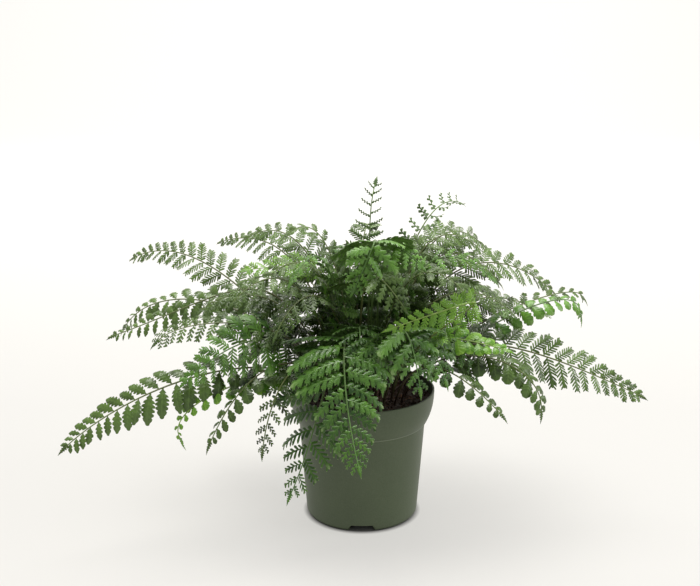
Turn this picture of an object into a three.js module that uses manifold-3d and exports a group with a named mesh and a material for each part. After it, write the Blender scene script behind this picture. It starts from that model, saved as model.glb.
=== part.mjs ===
// A potted asplenium fern with divided fronds in a 12 cm nursery pot.
// Millimetres, +Z up. The origin is the middle of the pot's foot, on the surface that it stands on.
import * as THREE from "three";
import { mergeVertices } from "three/addons/utils/BufferGeometryUtils.js";
import Module from "manifold-3d";

const wasm = await Module();
wasm.setup();

// Pot
const RIM_RADIUS = 60;
const RIM_TOP = 109;
const BAND_FOOT = 81;
const BODY_TOP_RADIUS = 52.4;
const FOOT_RADIUS = 46.4;
const FOOT_ROUND = 4;
const POT_WALL = 1.3;
const FLOOR_RISE = 3;
const FLOOR_THICK = 1.6;
const FOOT_RING_WIDTH = 6;
const NOTCH_COUNT = 3;
const NOTCH_TOP_WIDTH = 17;
const NOTCH_BOTTOM_WIDTH = 23;
const NOTCH_HEIGHT = 5.6;
const NOTCH_DEPTH = 18;
const POT_SIDES = 36;

// Soil
const SOIL_GAP = 0.35;
const SOIL_EDGE = 100;
const SOIL_CENTRE = 102;
const SOIL_SIDES = 30;
const HOLE_FLOOR = 90;
const HOLE_GAP = 0.4;

// Stems and leaflets
const STEM_FOOT = 91;
const STEM_START = 104;
const STEM_WIDTH = 2.6;
const STEM_DEPTH = 2.0;
const STEM_TIP_SHARE = 0.42;
const CLEAR = 0.4;

// How each kind of frond carries its leaflets. leaf is the longest leaflet, bare the share of the
// frond that is a bare stalk, wide the leaflet's width for its length, back and front the forward
// angles at the lamina's foot and tip, lift the angle that the leaflets rise out of the frond's
// plane, sag how far their tips hang for their length, and step the distance between neighbours.
const FORMS = {
  broad: { leaf: 27, bare: 0.3, wide: 0.6, back: 76, front: 50, lift: -4, sag: 0.16, step: 19 },
  fine: { leaf: 33, bare: 0.26, wide: 0.5, back: 74, front: 48, lift: 4, sag: 0.12, step: 21 },
  cut: { leaf: 44, bare: 0.3, wide: 0.42, back: 88, front: 44, lift: 2, sag: 0.2, step: 20 },
  fan: { leaf: 36, bare: 0.62, wide: 0.46, back: 88, front: 44, lift: 2, sag: 0.2, step: 12 },
  young: { leaf: 24, bare: 0.3, wide: 0.5, back: 72, front: 50, lift: 6, sag: 0.08, step: 17 },
  crozier: { leaf: 15, bare: 0.42, wide: 0.4, back: 84, front: 70, lift: 10, sag: -0.3, step: 12 },
};

// Every frond: name, form, heading in degrees from +X, reach of the tip from the axis, height of the
// tip, height that the stalk rises towards, height that the blade bows over at, how far out it bows
// as a share of the reach, sideways swing of the tip, roll of the blade in degrees, size of its
// leaflets, distance of the stem's foot from the axis, and how far that foot is turned from the heading.
const FRONDS = [
  ["frond_left_long", "broad", 204, 248, 92, 163, 141, 0.77, 0, -54, 0.85, 36, 0],
  ["frond_right_long", "fine", -9, 229, 113, 172, 160, 0.53, 0, 54, 1, 36, 0],
  ["frond_front_middle", "cut", -101, 130, 90, 222, 156, 0.61, 24, 0, 1.3, 36, 0],
  ["frond_left_upper_fine", "fine", 152, 240, 190, 127, 243, 0.64, 0, -50, 0.88, 26, 11],
  ["frond_left_top_fine", "fine", 138, 178, 205, 215, 232, 0.6, 0, -50, 0.74, 26, 5],
  ["frond_left_middle", "broad", 179, 210, 150, 240, 188, 0.49, 0, -46, 0.7, 36, 0],
  ["frond_left_middle_back", "broad", 169, 210, 144, 178, 202, 0.86, 0, -46, 0.7, 36, 1],
  ["frond_left_short", "broad", 201, 171, 163, 190, 186, 0.95, 0, -28, 0.85, 26, 6],
  ["frond_left_bright", "young", 191, 97, 213, 236, 216, 0.3, 0, -30, 1.2, 15, 0],
  ["frond_top_unfurling", "crozier", 50, 22, 280, 250, 255, 0.2, 4, 40, 1.4, 7, 0],
  ["frond_top_right_open", "crozier", 45, 126, 246, 168, 278, 0.54, 0, 30, 1.3, 15, 0],
  ["frond_top_front", "fan", -80, 60, 205, 267, 270, 1.4, -19, 0, 1.1, 15, 12],
  ["frond_top_front_right", "fan", -65, 61, 222, 233, 258, 0.53, 23, 10, 1, 15, 23],
  ["frond_inner_front_right", "fan", -84, 74, 195, 213, 247, 0.94, 25, 0, 0.95, 15, -16],
  ["frond_right_top_fine", "fine", 17, 173, 176, 218, 232, 0.66, 0, 40, 1, 26, 0],
  ["frond_right_curled", "broad", 1, 179, 165, 128, 224, 1.03, 0, 34, 0.58, 26, 0],
  ["frond_right_curled_back", "fine", 9, 187, 174, 156, 205, 1.05, 0, 34, 0.62, 36, 2],
  ["frond_right_bright_fine", "young", -37, 72, 187, 167, 239, 2.6, -68, 72, 0.9, 28, -13],
  ["frond_right_bright_lobed", "young", -28, 127, 160, 168, 166, 0.58, 0, 30, 1.05, 26, 12],
  ["frond_right_low_dark", "broad", -42, 141, 120, 158, 150, 0.69, 0, 16, 0.56, 36, 0],
  ["frond_right_low_hook", "broad", -25, 153, 108, 166, 163, 1.04, 0, 28, 0.66, 36, 0],
  ["frond_left_low_light", "young", 207, 159, 92, 156, 122, 1.15, 10, -24, 0.7, 36, 8],
  ["frond_left_low_dark", "broad", 216, 145, 90, 160, 162, 0.74, 0, -16, 0.56, 36, 10],
  ["frond_front_left_hanging", "cut", 241, 107, 50, 199, 98, 0.6, -5, 0, 1.15, 36, 5],
  ["frond_front_left_dark", "broad", 230, 118, 86, 172, 160, 0.9, 0, -8, 0.7, 36, 7],
  ["frond_front_right_hanging", "cut", -62, 94, 134, 186, 200, 0.8, 0, 6, 1.2, 36, 0],
  ["frond_inner_front_left", "broad", 226, 96, 172, 214, 216, 0.72, 0, -8, 0.95, 15, 14],
  ["frond_inner_left_front", "broad", 212, 118, 196, 215, 232, 0.7, 0, -18, 0.9, 26, 6],
  ["frond_back_top", "fine", 100, 137, 180, 214, 232, 0.66, 0, 0, 1, 26, 0],
  ["frond_back_right_top", "fine", 66, 145, 182, 208, 236, 0.66, 0, 8, 1, 26, 0],
  ["frond_back_left", "broad", 121, 152, 152, 186, 204, 0.7, 0, -6, 1, 36, 0],
  ["frond_back_right", "broad", 41, 172, 150, 180, 204, 0.7, 0, 10, 1, 36, 0],
  ["frond_back_right_fine", "fine", 28, 190, 146, 176, 190, 0.62, 0, 16, 1, 36, 0],
  ["frond_back_left_fine", "fine", 150, 182, 142, 176, 186, 0.62, 0, -16, 1, 36, 0],
  ["frond_back_low", "broad", 90, 134, 96, 160, 160, 0.8, 0, 0, 0.95, 36, 0],
  ["frond_back_left_low", "broad", 134, 158, 92, 152, 148, 0.84, 0, 0, 0.95, 36, 0],
  ["frond_back_right_low", "fine", 58, 158, 98, 152, 150, 0.8, 0, 0, 0.95, 36, 0],
  ["frond_inner_back", "cut", 112, 66, 208, 216, 236, 0.62, 0, 0, 0.75, 7, 10],
  ["frond_inner_back_right", "broad", 74, 88, 206, 220, 236, 0.68, 0, 0, 0.9, 15, 10],
  ["frond_low_front_left", "cut", 242, 94, 128, 168, 172, 0.82, 0, 0, 1.05, 26, 0],
  ["frond_low_front", "cut", -80, 88, 138, 182, 190, 0.82, 0, 0, 1, 26, -10],
  ["frond_low_front_right", "cut", -49, 98, 138, 174, 184, 0.8, 0, 8, 1.15, 20, -10],
  ["frond_left_inner", "broad", 188, 132, 178, 196, 206, 0.78, 0, -20, 0.9, 26, 0],
  ["frond_right_upper_fine", "fine", 32, 140, 196, 236, 262, 0.64, 0, 30, 1, 26, 0],
  ["frond_right_upper_front", "cut", -14, 108, 206, 224, 246, 0.62, 0, 30, 0.7, 15, 0],
  ["frond_left_upper_inner", "fine", 156, 112, 222, 222, 256, 0.6, 0, -34, 0.9, 15, 0],
  ["frond_left_upper_front", "cut", 229, 84, 212, 232, 250, 0.62, 0, -10, 0.7, 15, -13],
  ["frond_top_left", "fine", 172, 66, 232, 236, 262, 0.6, 0, -20, 0.8, 7, 20],
  ["frond_top_back", "fine", 84, 74, 226, 232, 252, 0.6, 0, 0, 0.9, 15, 30],
  ["frond_right_inner", "broad", -4, 124, 172, 200, 210, 0.74, 0, 26, 0.95, 20, -16],
  ["frond_right_low_inner", "cut", -30, 104, 132, 178, 182, 0.8, 0, 18, 0.72, 28, -2],
  ["frond_left_low_inner", "cut", 212, 160, 140, 176, 176, 0.7, 0, -62, 1, 38, -21],
  ["frond_inner_right", "fine", -30, 96, 196, 214, 236, 0.66, 0, 20, 0.85, 9, 30],
  ["frond_inner_left", "fine", 210, 92, 206, 226, 240, 0.64, 0, -20, 0.85, 11, -4],
  ["frond_top_right", "broad", 18, 104, 218, 226, 256, 0.62, 0, 24, 0.85, 20, 8],
  ["frond_back_inner_low", "broad", 108, 112, 140, 178, 188, 0.76, 0, 0, 0.95, 28, 12],
  ["frond_front_inner", "cut", -91, 84, 148, 190, 192, 0.72, 0, 0, 1, 24, -8],
  ["frond_right_dome", "fine", 11, 118, 190, 222, 248, 0.62, 0, 26, 0.95, 18, -4],
];

// What a leaflet tries, in turn, to stay clear of its neighbours: its rise in degrees and its size.
const BENDS = [
  [0, 1], [14, 1], [-14, 1], [28, 1], [-28, 1], [0, 0.8], [18, 0.8], [-18, 0.8], [42, 0.9],
  [-42, 0.9], [34, 0.75], [-34, 0.75], [56, 0.75], [-56, 0.75], [0, 0.6], [26, 0.6], [-26, 0.6],
  [48, 0.6], [-48, 0.6], [0, 0.42], [36, 0.42], [-36, 0.42],
];

const LEAF_COLOURS = {
  broad: 0x3b6a2e,
  fine: 0x4c7440,
  cut: 0x467a2f,
  young: 0x77a53a,
  crozier: 0x5d7f45,
};

const radians = (degrees) => (degrees * Math.PI) / 180;
const mix = (a, b, t) => a + (b - a) * t;

// A closed solid from a geometry whose faces share their corners.
function solidOf(geometry) {
  const bare = new THREE.BufferGeometry();
  bare.setAttribute("position", geometry.getAttribute("position"));
  bare.setIndex(geometry.getIndex());
  const merged = mergeVertices(bare, 1e-4);
  const keep = [];
  const index = merged.index.array;
  for (let i = 0; i < index.length; i += 3) {
    const [a, b, c] = [index[i], index[i + 1], index[i + 2]];
    if (a !== b && b !== c && c !== a) keep.push(a, b, c);
  }
  return new wasm.Manifold(
    new wasm.Mesh({
      numProp: 3,
      vertProperties: merged.attributes.position.array,
      triVerts: new Uint32Array(keep),
    }),
  );
}

// The geometry of a solid, ready for a mesh.
function geometryOf(solid) {
  const mesh = solid.getMesh();
  const positions = new Float32Array(mesh.numVert * 3);
  for (let i = 0; i < mesh.numVert; i++) {
    const at = i * mesh.numProp;
    positions.set(mesh.vertProperties.subarray(at, at + 3), i * 3);
  }
  const geometry = new THREE.BufferGeometry();
  geometry.setAttribute("position", new THREE.BufferAttribute(positions, 3));
  geometry.setIndex(new THREE.BufferAttribute(mesh.triVerts, 1));
  geometry.computeVertexNormals();
  return geometry;
}

// A turned solid about Z from [radius, height] pairs that run up the outside and back down the inside.
function turned(profile, sides) {
  const points = profile.map(([r, z]) => new THREE.Vector2(r, z));
  const geometry = new THREE.LatheGeometry(points, sides);
  geometry.rotateX(Math.PI / 2);
  return solidOf(geometry);
}

// Outer radius of the pot at a height: a straight taper, then a band that swells out to the rim.
function potRadius(z) {
  if (z <= BAND_FOOT) return mix(FOOT_RADIUS, BODY_TOP_RADIUS, z / BAND_FOOT);
  const up = Math.min(1, (z - BAND_FOOT) / (RIM_TOP - BAND_FOOT));
  const swell = 1 - Math.pow(1 - up, 2.6);
  return mix(BODY_TOP_RADIUS + 0.8, RIM_RADIUS, 0.1 * up + 0.9 * swell);
}

// Pot: thin turned shell with a raised floor, a foot ring, a rim band and drain notches in the ring.
function makePot() {
  const floorTop = FLOOR_RISE + FLOOR_THICK;
  const inner = (z) => potRadius(z) - POT_WALL;
  const outside = [
    [FOOT_RADIUS - FOOT_ROUND, 0],
    [FOOT_RADIUS - FOOT_ROUND * 0.2, FOOT_ROUND * 0.35],
    [potRadius(FOOT_ROUND), FOOT_ROUND],
    [BODY_TOP_RADIUS, BAND_FOOT - 0.4],
    [potRadius(BAND_FOOT + 0.01), BAND_FOOT + 0.2],
    [potRadius(86), 86],
    [potRadius(93), 93],
    [RIM_RADIUS, RIM_TOP - 0.4],
    [RIM_RADIUS - 0.5, RIM_TOP],
  ];
  const inside = [
    [RIM_RADIUS - POT_WALL - 0.3, RIM_TOP],
    [inner(93), 93],
    [inner(84), 84],
    [BODY_TOP_RADIUS - POT_WALL, 80],
    [inner(floorTop), floorTop],
    [0, floorTop],
    [0, FLOOR_RISE],
    [FOOT_RADIUS - FOOT_ROUND - FOOT_RING_WIDTH, FLOOR_RISE],
    [FOOT_RADIUS - FOOT_ROUND - FOOT_RING_WIDTH, 0],
    [FOOT_RADIUS - FOOT_ROUND, 0],
  ];
  let pot = turned([...outside, ...inside], POT_SIDES);
  for (let i = 0; i < NOTCH_COUNT; i++) {
    pot = pot.subtract(notchCutter(-90 + (360 / NOTCH_COUNT) * i));
  }
  return pot;
}

// Drain notch: a trapezoid cut through the foot ring and the wall at one heading.
function notchCutter(heading) {
  const shape = new THREE.Shape([
    new THREE.Vector2(-NOTCH_BOTTOM_WIDTH / 2 - 0.5, -1),
    new THREE.Vector2(NOTCH_BOTTOM_WIDTH / 2 + 0.5, -1),
    new THREE.Vector2(NOTCH_TOP_WIDTH / 2, NOTCH_HEIGHT),
    new THREE.Vector2(-NOTCH_TOP_WIDTH / 2, NOTCH_HEIGHT),
  ]);
  const geometry = new THREE.ExtrudeGeometry(shape, { depth: NOTCH_DEPTH, bevelEnabled: false });
  geometry.rotateX(Math.PI / 2);
  geometry.translate(0, FOOT_RADIUS + 6, 0);
  geometry.rotateZ(radians(heading - 90));
  return solidOf(geometry);
}

// Soil: the root ball that fills the pot, with one plain hole for each stem.
function makeSoil(feet) {
  const floor = FLOOR_RISE + FLOOR_THICK + SOIL_GAP;
  const edge = (z) => potRadius(z) - POT_WALL - SOIL_GAP;
  let soil = turned(
    [
      [0, floor],
      [edge(floor) - 0.6, floor],
      [BODY_TOP_RADIUS - POT_WALL - SOIL_GAP - 0.3, 80],
      [edge(84) - 0.4, 84],
      [edge(93) - 0.4, 93],
      [edge(SOIL_EDGE) - 0.6, SOIL_EDGE],
      [26, SOIL_CENTRE],
      [0, SOIL_CENTRE],
    ],
    SOIL_SIDES,
  );
  for (const { foot, heading } of feet) soil = soil.subtract(holeCutter(foot, heading));
  return soil;
}

// Hole for one stem: a square well a little wider than the stem.
function holeCutter(foot, heading) {
  const height = SOIL_CENTRE + 6 - HOLE_FLOOR;
  const geometry = new THREE.BoxGeometry(
    STEM_DEPTH + 2 * HOLE_GAP,
    STEM_WIDTH + 2 * HOLE_GAP,
    height,
  );
  geometry.rotateZ(radians(heading));
  geometry.translate(foot.x, foot.y, HOLE_FLOOR + height / 2);
  return solidOf(geometry);
}

// Frond: the midline as a Bezier curve from the soil, out along the heading and over to the tip.
function layOut(row) {
  const [name, form, heading, reach, tip, rise, crest, lean, swing, roll, size, ring, turn] = row;
  const kind = FORMS[form];
  const out = new THREE.Vector3(Math.cos(radians(heading)), Math.sin(radians(heading)), 0);
  const side = new THREE.Vector3(-out.y, out.x, 0);
  const place = (along, across, z) =>
    new THREE.Vector3(0, 0, z).addScaledVector(out, along).addScaledVector(side, across);
  const at = radians(heading + turn);
  const foot = new THREE.Vector3(ring * Math.cos(at), ring * Math.sin(at), STEM_FOOT);
  const start = foot.clone().setZ(STEM_START);
  const curve = new THREE.CubicBezierCurve3(
    start,
    start.clone().addScaledVector(out, 0.12 * reach).setZ(rise),
    place(lean * reach, -0.35 * swing, crest),
    place(reach, swing, tip),
  );
  const length = curve.getLength();
  const blade = length * (1 - kind.bare);
  const pairs = Math.max(4, Math.min(10, Math.round(blade / kind.step) - 1));
  return { name, form, heading, kind, side, roll, size, foot, curve, length, pairs };
}

// Length of a leaflet at u, from 0 at the foot of the blade to 1 at its tip, as a share of the longest.
function leafShare(form, u) {
  if (form === "broad") return (0.3 + 0.7 * (1 - Math.pow(u, 2.2))) * Math.min(1, 0.72 + 1.6 * u);
  if (form === "cut" || form === "fan")
    return (0.12 + 0.88 * Math.pow(1 - u, 1.05)) * Math.min(1, 0.78 + 1.5 * u);
  if (form === "crozier") return 0.3 + 0.7 * (1 - u);
  return 0.16 + 0.84 * Math.pow(1 - u, 0.8);
}

// Point and cross directions of the midline at a share of its length.
function station(frond, share) {
  const t = frond.curve.getUtoTmapping(share);
  const centre = frond.curve.getPoint(t);
  const along = frond.curve.getTangent(t);
  const across = frond.side.clone().addScaledVector(along, -frond.side.dot(along)).normalize();
  const up = new THREE.Vector3().crossVectors(along, across);
  const turn = radians(frond.roll) * Math.min(1, share * 1.6);
  const s = across.clone().multiplyScalar(Math.cos(turn)).addScaledVector(up, Math.sin(turn));
  const n = up.clone().multiplyScalar(Math.cos(turn)).addScaledVector(across, -Math.sin(turn));
  return { centre, along, side: s, up: n };
}

// The four corners of the stem at a station: left top, left bottom, right bottom, right top.
function stemCorners(place, share) {
  const thin = mix(1, STEM_TIP_SHARE, share);
  const corner = (s, n) =>
    place.centre
      .clone()
      .addScaledVector(place.side, (s * thin * STEM_WIDTH) / 2)
      .addScaledVector(place.up, (n * thin * STEM_DEPTH) / 2);
  return [corner(1, 1), corner(1, -1), corner(-1, -1), corner(-1, 1)];
}

// Outline of a leaflet in its own plane as [share of length, share of width] from its lower side.
const OUTLINES = {
  5: [[0.36, -0.5], [0.58, -0.3], [1, 0], [0.66, 0.3], [0.46, 0.5]],
  3: [[0.4, -0.46], [1, 0], [0.5, 0.46]],
  1: [[1, 0]],
};

// How an outline with its two root corners is split into triangles, alike on both faces.
const SPLITS = {
  5: [[0, 1, 2], [0, 2, 6], [2, 4, 6], [2, 3, 4], [4, 5, 6]],
  3: [[0, 1, 4], [1, 3, 4], [1, 2, 3]],
  1: [[0, 1, 2]],
};

// One leaflet's two faces, lower and upper, from its root between two stem sections.
function leafletFaces(root, aim, bend, sizes) {
  const [rise, scale] = bend;
  const length = sizes.length * scale;
  const width = sizes.width * Math.max(scale, 0.7);
  const tilt = radians(aim.lift + rise);
  const outward = aim.side
    .clone()
    .multiplyScalar(aim.hand * Math.cos(tilt))
    .addScaledVector(aim.up, Math.sin(tilt));
  const reach = aim.along
    .clone()
    .multiplyScalar(Math.cos(aim.forward))
    .addScaledVector(outward, Math.sin(aim.forward));
  const breadth = aim.along.clone().addScaledVector(reach, -aim.along.dot(reach)).normalize();
  const normal = new THREE.Vector3().crossVectors(breadth, reach).multiplyScalar(aim.hand);
  const middle = root[0].clone().add(root[1]).add(root[2]).add(root[3]).multiplyScalar(0.25);
  const face = (lift) =>
    OUTLINES[sizes.points].map(([l, w]) =>
      middle
        .clone()
        .addScaledVector(reach, l * length)
        .addScaledVector(breadth, w * width)
        .addScaledVector(normal, lift)
        .add(new THREE.Vector3(0, 0, -sizes.sag * length * l * l)),
    );
  return { top: face(sizes.thick / 2), bottom: face(-sizes.thick / 2) };
}

// Triangles of one leaflet. near and far are its root edges as [top, bottom]; closed adds the root wall.
function leafletTriangles(near, far, faces, points, hand, closed) {
  const top = [near[0], ...faces.top, far[0]];
  const bottom = [near[1], ...faces.bottom, far[1]];
  const triangles = [];
  const add = (a, b, c) => triangles.push(hand > 0 ? [a, c, b] : [a, b, c]);
  for (const [a, b, c] of SPLITS[points]) {
    add(top[a], top[b], top[c]);
    add(bottom[a], bottom[c], bottom[b]);
  }
  for (let i = 0; i + 1 < top.length; i++) {
    add(top[i], bottom[i], top[i + 1]);
    add(bottom[i], bottom[i + 1], top[i + 1]);
  }
  if (closed) {
    const last = top.length - 1;
    add(top[last], bottom[last], top[0]);
    add(bottom[last], bottom[0], top[0]);
  }
  return triangles;
}

// A closed solid from loose triangles, each a list of three points.
function weld(triangles) {
  const geometry = new THREE.BufferGeometry().setFromPoints(triangles.flat());
  geometry.setIndex([...Array(triangles.length * 3).keys()]);
  return solidOf(geometry);
}

// Stem sections of a frond: its foot in the soil, the bare stalk, then two for each pair of leaflets.
function stemSections(frond) {
  const { kind, pairs } = frond;
  const shares = [0, kind.bare * 0.34, kind.bare * 0.67];
  for (let i = 0; i <= 2 * pairs; i++) shares.push(kind.bare + ((1 - kind.bare) * 0.97 * i) / (2 * pairs));
  const sections = shares.map((share) => {
    const place = station(frond, share);
    return { share, place, corners: stemCorners(place, share) };
  });
  const foot = sections[0].place.centre.clone().setZ(STEM_FOOT);
  const out = new THREE.Vector3(frond.side.y, -frond.side.x, 0);
  const upright = { centre: foot, side: frond.side, up: out.multiplyScalar(-1) };
  const collar = { ...upright, centre: sections[0].place.centre };
  sections[0].corners = stemCorners(collar, 0);
  return [{ share: 0, place: upright, corners: stemCorners(upright, 0) }, ...sections];
}

// The places where a frond's leaflets grow: alternately left and right, and one at the tip.
function leafletPlaces(frond, sections) {
  const places = [];
  const firstBlade = sections.length - 2 * frond.pairs - 1;
  for (let i = 0; i < 2 * frond.pairs; i++) {
    const a = sections[firstBlade + i];
    const b = sections[firstBlade + i + 1];
    const hand = i % 2 ? -1 : 1;
    const u = i / (2 * frond.pairs);
    const share = leafShare(frond.form, u);
    const length = frond.kind.leaf * frond.size * share;
    const gap = (frond.length * (1 - frond.kind.bare)) / frond.pairs;
    const forward = radians(mix(frond.kind.back, frond.kind.front, u));
    const width = Math.min(
      0.9 * gap * Math.sin(forward),
      length * frond.kind.wide,
      0.8 * length * Math.tan(forward),
    );
    const side = hand > 0 ? [0, 1] : [3, 2];
    places.push({
      section: firstBlade + i,
      hand,
      near: side.map((k) => a.corners[k]),
      far: side.map((k) => b.corners[k]),
      aim: { ...b.place, hand, forward, lift: frond.kind.lift },
      sizes: {
        length,
        width,
        sag: frond.kind.sag,
        thick: 0.8,
        points: u < 0.5 ? 5 : u < 0.86 ? 3 : 1,
      },
    });
  }
  return places;
}

// The stem's own triangles, open where a leaflet is rooted.
function stemTriangles(sections, rooted) {
  const triangles = [];
  const quad = (a, b, c, d) => triangles.push([a, b, c], [a, c, d]);
  for (let i = 0; i + 1 < sections.length; i++) {
    const [a, b] = [sections[i].corners, sections[i + 1].corners];
    quad(a[0], a[3], b[3], b[0]);
    quad(a[2], a[1], b[1], b[2]);
    if (rooted.get(i) !== 1) quad(a[1], a[0], b[0], b[1]);
    if (rooted.get(i) !== -1) quad(a[3], a[2], b[2], b[3]);
  }
  const first = sections[0].corners;
  const last = sections[sections.length - 1].corners;
  quad(first[0], first[1], first[2], first[3]);
  const tip = last[0].clone().add(last[1]).add(last[2]).add(last[3]).multiplyScalar(0.25);
  tip.addScaledVector(sections[sections.length - 1].place.along, 5);
  for (let k = 0; k < 4; k++) triangles.push([last[(k + 1) % 4], last[k], tip]);
  return triangles;
}

// The box round some triangles, grown by a margin.
function boxOf(triangles, margin) {
  return new THREE.Box3().setFromPoints(triangles.flat()).expandByScalar(margin);
}

// A leaflet as a closed test solid, grown on every side by a margin.
function testLeaflet(place, bend, margin) {
  const grown = { ...place.sizes, thick: place.sizes.thick + 2 * margin };
  grown.length += margin / bend[1];
  grown.width += 2 * margin;
  const root = [...place.near, ...place.far];
  const faces = leafletFaces(root, place.aim, bend, grown);
  return leafletTriangles(place.near, place.far, faces, grown.points, place.hand, true);
}

// Whether a leaflet, grown by the clearance, keeps clear of everything near it that isn't its own frond,
// and crosses nothing of its own frond.
function isClear(place, bend, owner, taken) {
  const wide = testLeaflet(place, bend, CLEAR);
  const wideBox = boxOf(wide, 0.05);
  const near = taken.filter((t) => t.box.intersectsBox(wideBox));
  if (!near.length) return true;
  const others = near.filter((t) => t.owner !== owner);
  const own = near.filter((t) => t.owner === owner);
  const meets = (triangles, list) => {
    if (!list.length) return false;
    const solid = weld(triangles);
    return list.some((t) => solid.intersect(t.solid).volume() > 0.002);
  };
  return !meets(wide, others) && !meets(testLeaflet(place, bend, 0), own);
}

// Every frond with the stems laid first and each leaflet bent, or shortened, until it is clear.
function growFronds(fixed) {
  const fronds = FRONDS.map(layOut);
  const taken = fixed.map((solid) => {
    const { min, max } = solid.boundingBox();
    return { owner: "", solid, box: new THREE.Box3(new THREE.Vector3(...min), new THREE.Vector3(...max)) };
  });
  for (const frond of fronds) {
    frond.sections = stemSections(frond);
    const triangles = stemTriangles(frond.sections, new Map());
    taken.push({ owner: frond.name, solid: weld(triangles), box: boxOf(triangles, 0) });
  }
  for (const frond of fronds) {
    const rooted = new Map();
    const leaflets = [];
    for (const place of leafletPlaces(frond, frond.sections)) {
      const bend = BENDS.find((b) => isClear(place, b, frond.name, taken));
      if (!bend) continue;
      rooted.set(place.section, place.hand);
      const closed = testLeaflet(place, bend, 0);
      taken.push({ owner: frond.name, solid: weld(closed), box: boxOf(closed, 0) });
      const faces = leafletFaces([...place.near, ...place.far], place.aim, bend, place.sizes);
      leaflets.push(
        ...leafletTriangles(place.near, place.far, faces, place.sizes.points, place.hand, false),
      );
    }
    frond.solid = weld([...stemTriangles(frond.sections, rooted), ...leaflets]);
  }
  return fronds;
}

function meshOf(name, solid, colour, roughness) {
  const material = new THREE.MeshStandardMaterial({ color: colour, roughness, metalness: 0 });
  const mesh = new THREE.Mesh(geometryOf(solid), material);
  mesh.name = name;
  return mesh;
}

const pot = makePot();
const feet = FRONDS.map(layOut);
const soil = makeSoil(feet);
const plant = growFronds([pot, soil]);

const group = new THREE.Group();
group.add(meshOf("pot", pot, 0x535c49, 0.6));
group.add(meshOf("soil", soil, 0x2a1c14, 0.95));
for (const frond of plant) {
  group.add(meshOf(frond.name, frond.solid, LEAF_COLOURS[frond.form], 0.4));
}

export default group;
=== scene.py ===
"""A potted asplenium fern: divided fronds of several kinds in a moulded nursery pot of peat.

The fronds follow the same list and the same curves as the part's source. Each pair of the source's
leaflets stands for one to two and a half pairs of the fern's own.
"""

import bpy
import numpy as np
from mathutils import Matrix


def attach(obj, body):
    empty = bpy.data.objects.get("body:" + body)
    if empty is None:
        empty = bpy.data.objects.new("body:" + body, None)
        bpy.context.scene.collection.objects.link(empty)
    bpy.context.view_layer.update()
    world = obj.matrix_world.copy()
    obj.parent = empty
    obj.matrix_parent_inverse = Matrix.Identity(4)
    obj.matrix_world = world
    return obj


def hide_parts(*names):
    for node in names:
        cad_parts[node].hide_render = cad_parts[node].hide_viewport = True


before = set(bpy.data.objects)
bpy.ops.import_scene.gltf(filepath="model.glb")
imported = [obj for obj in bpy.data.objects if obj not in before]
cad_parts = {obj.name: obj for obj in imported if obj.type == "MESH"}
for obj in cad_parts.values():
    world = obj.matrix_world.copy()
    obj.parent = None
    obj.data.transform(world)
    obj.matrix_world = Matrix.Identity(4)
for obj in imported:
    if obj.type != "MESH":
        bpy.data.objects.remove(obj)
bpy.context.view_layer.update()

MM = 0.001

# Camera, measured from the pot's rim, step and foot in the photograph, which is 700 pixels wide.
CAMERA_PLACE = (0.0, -0.9, 0.4272)
CAMERA_DOWN_DEGREES = 14.79
CAMERA_LEFT_DEGREES = 0.64
CAMERA_FOCAL_PIXELS = 1145.1
PHOTO_WIDTH_PIXELS = 700
SENSOR_MM = 36.0
CAMERA_CLIP_START = 0.05

# Pot, in millimetres
RIM_RADIUS = 60.0
RIM_TOP = 109.0
RIM_ROUND = 0.6
BAND_FOOT = 81.0
BAND_STEP = 0.8
BODY_TOP_RADIUS = 52.4
WALL_START = 8.0
FOOT_RADIUS = 46.4
FOOT_ROUND = 4.0
POT_WALL = 1.3
FLOOR_RISE = 3.0
FLOOR_THICK = 1.6
FLOOR_MIDDLE_RADIUS = 6.0
FOOT_RING_WIDTH = 6.0
NOTCH_COUNT = 3
NOTCH_TOP_WIDTH = 17.0
NOTCH_BOTTOM_WIDTH = 23.0
NOTCH_HEIGHT = 5.6
POT_SIDES = 180

# The rim band swells as one less a power of what is left of it, but for a share that is straight. The
# foot's round starts this share of its radius inside the foot's edge, so that it ends on the wall.
BAND_SWELL_POWER = 2.6
BAND_STRAIGHT_SHARE = 0.1
FOOT_ROUND_INSET = 0.93

# Soil, in millimetres
SOIL_GAP = 0.35
SOIL_EDGE = 100.0
SOIL_CENTRE = 102.0
SOIL_RADIUS = 58.0
SOIL_ROUGHNESS = 0.9
SOIL_WAVE_COUNT = 14
SOIL_WAVE_LENGTHS = (4, 16)
SOIL_WAVE_SUM = 60
SOIL_SIDES = 128
SOIL_RINGS = 34
SOIL_WAVE_SEED = 77
CRUMB_COUNT = 900
CRUMB_REACH = 57
CRUMB_ROWS = 4
CRUMB_SIDES = 6
CRUMB_SEED = 78
FIBRE_COUNT = 130
FIBRE_REACH = 47
FIBRE_LENGTHS = (5, 18)
FIBRE_HALF_WIDTHS = (0.12, 0.3)

# Stems and leaflets, in millimetres
STEM_FOOT = 91.0
STEM_START = 104.0
STEM_WIDTH = 2.6
STEM_DEPTH = 2.0
STEM_TIP_SHARE = 0.42
STEM_STATIONS = 48
STEM_SIDES = 8
RIB_STATIONS = 5
LEAF_THICK = 0.34
LEAST_PINNULE_WIDTH = 1.3

# A stem is finer here than in the source: its half width, its half depth and the distance of the
# leaflets' roots from its midline, as shares of the source's stem, and its tip's width as a share of that
# of the source's tip.
STEM_HALF_WIDTH = 0.4
STEM_HALF_DEPTH = 0.42
ROOTS_OUT = 0.2
STEM_TIP_FINENESS = 0.9

# Lobes of a leaflet in one sheet: its length in millimetres for each, and their least and most number
LENGTH_PER_LOBE = 3.4
LEAST_LOBES = 2
MOST_LOBES = 6

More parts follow.
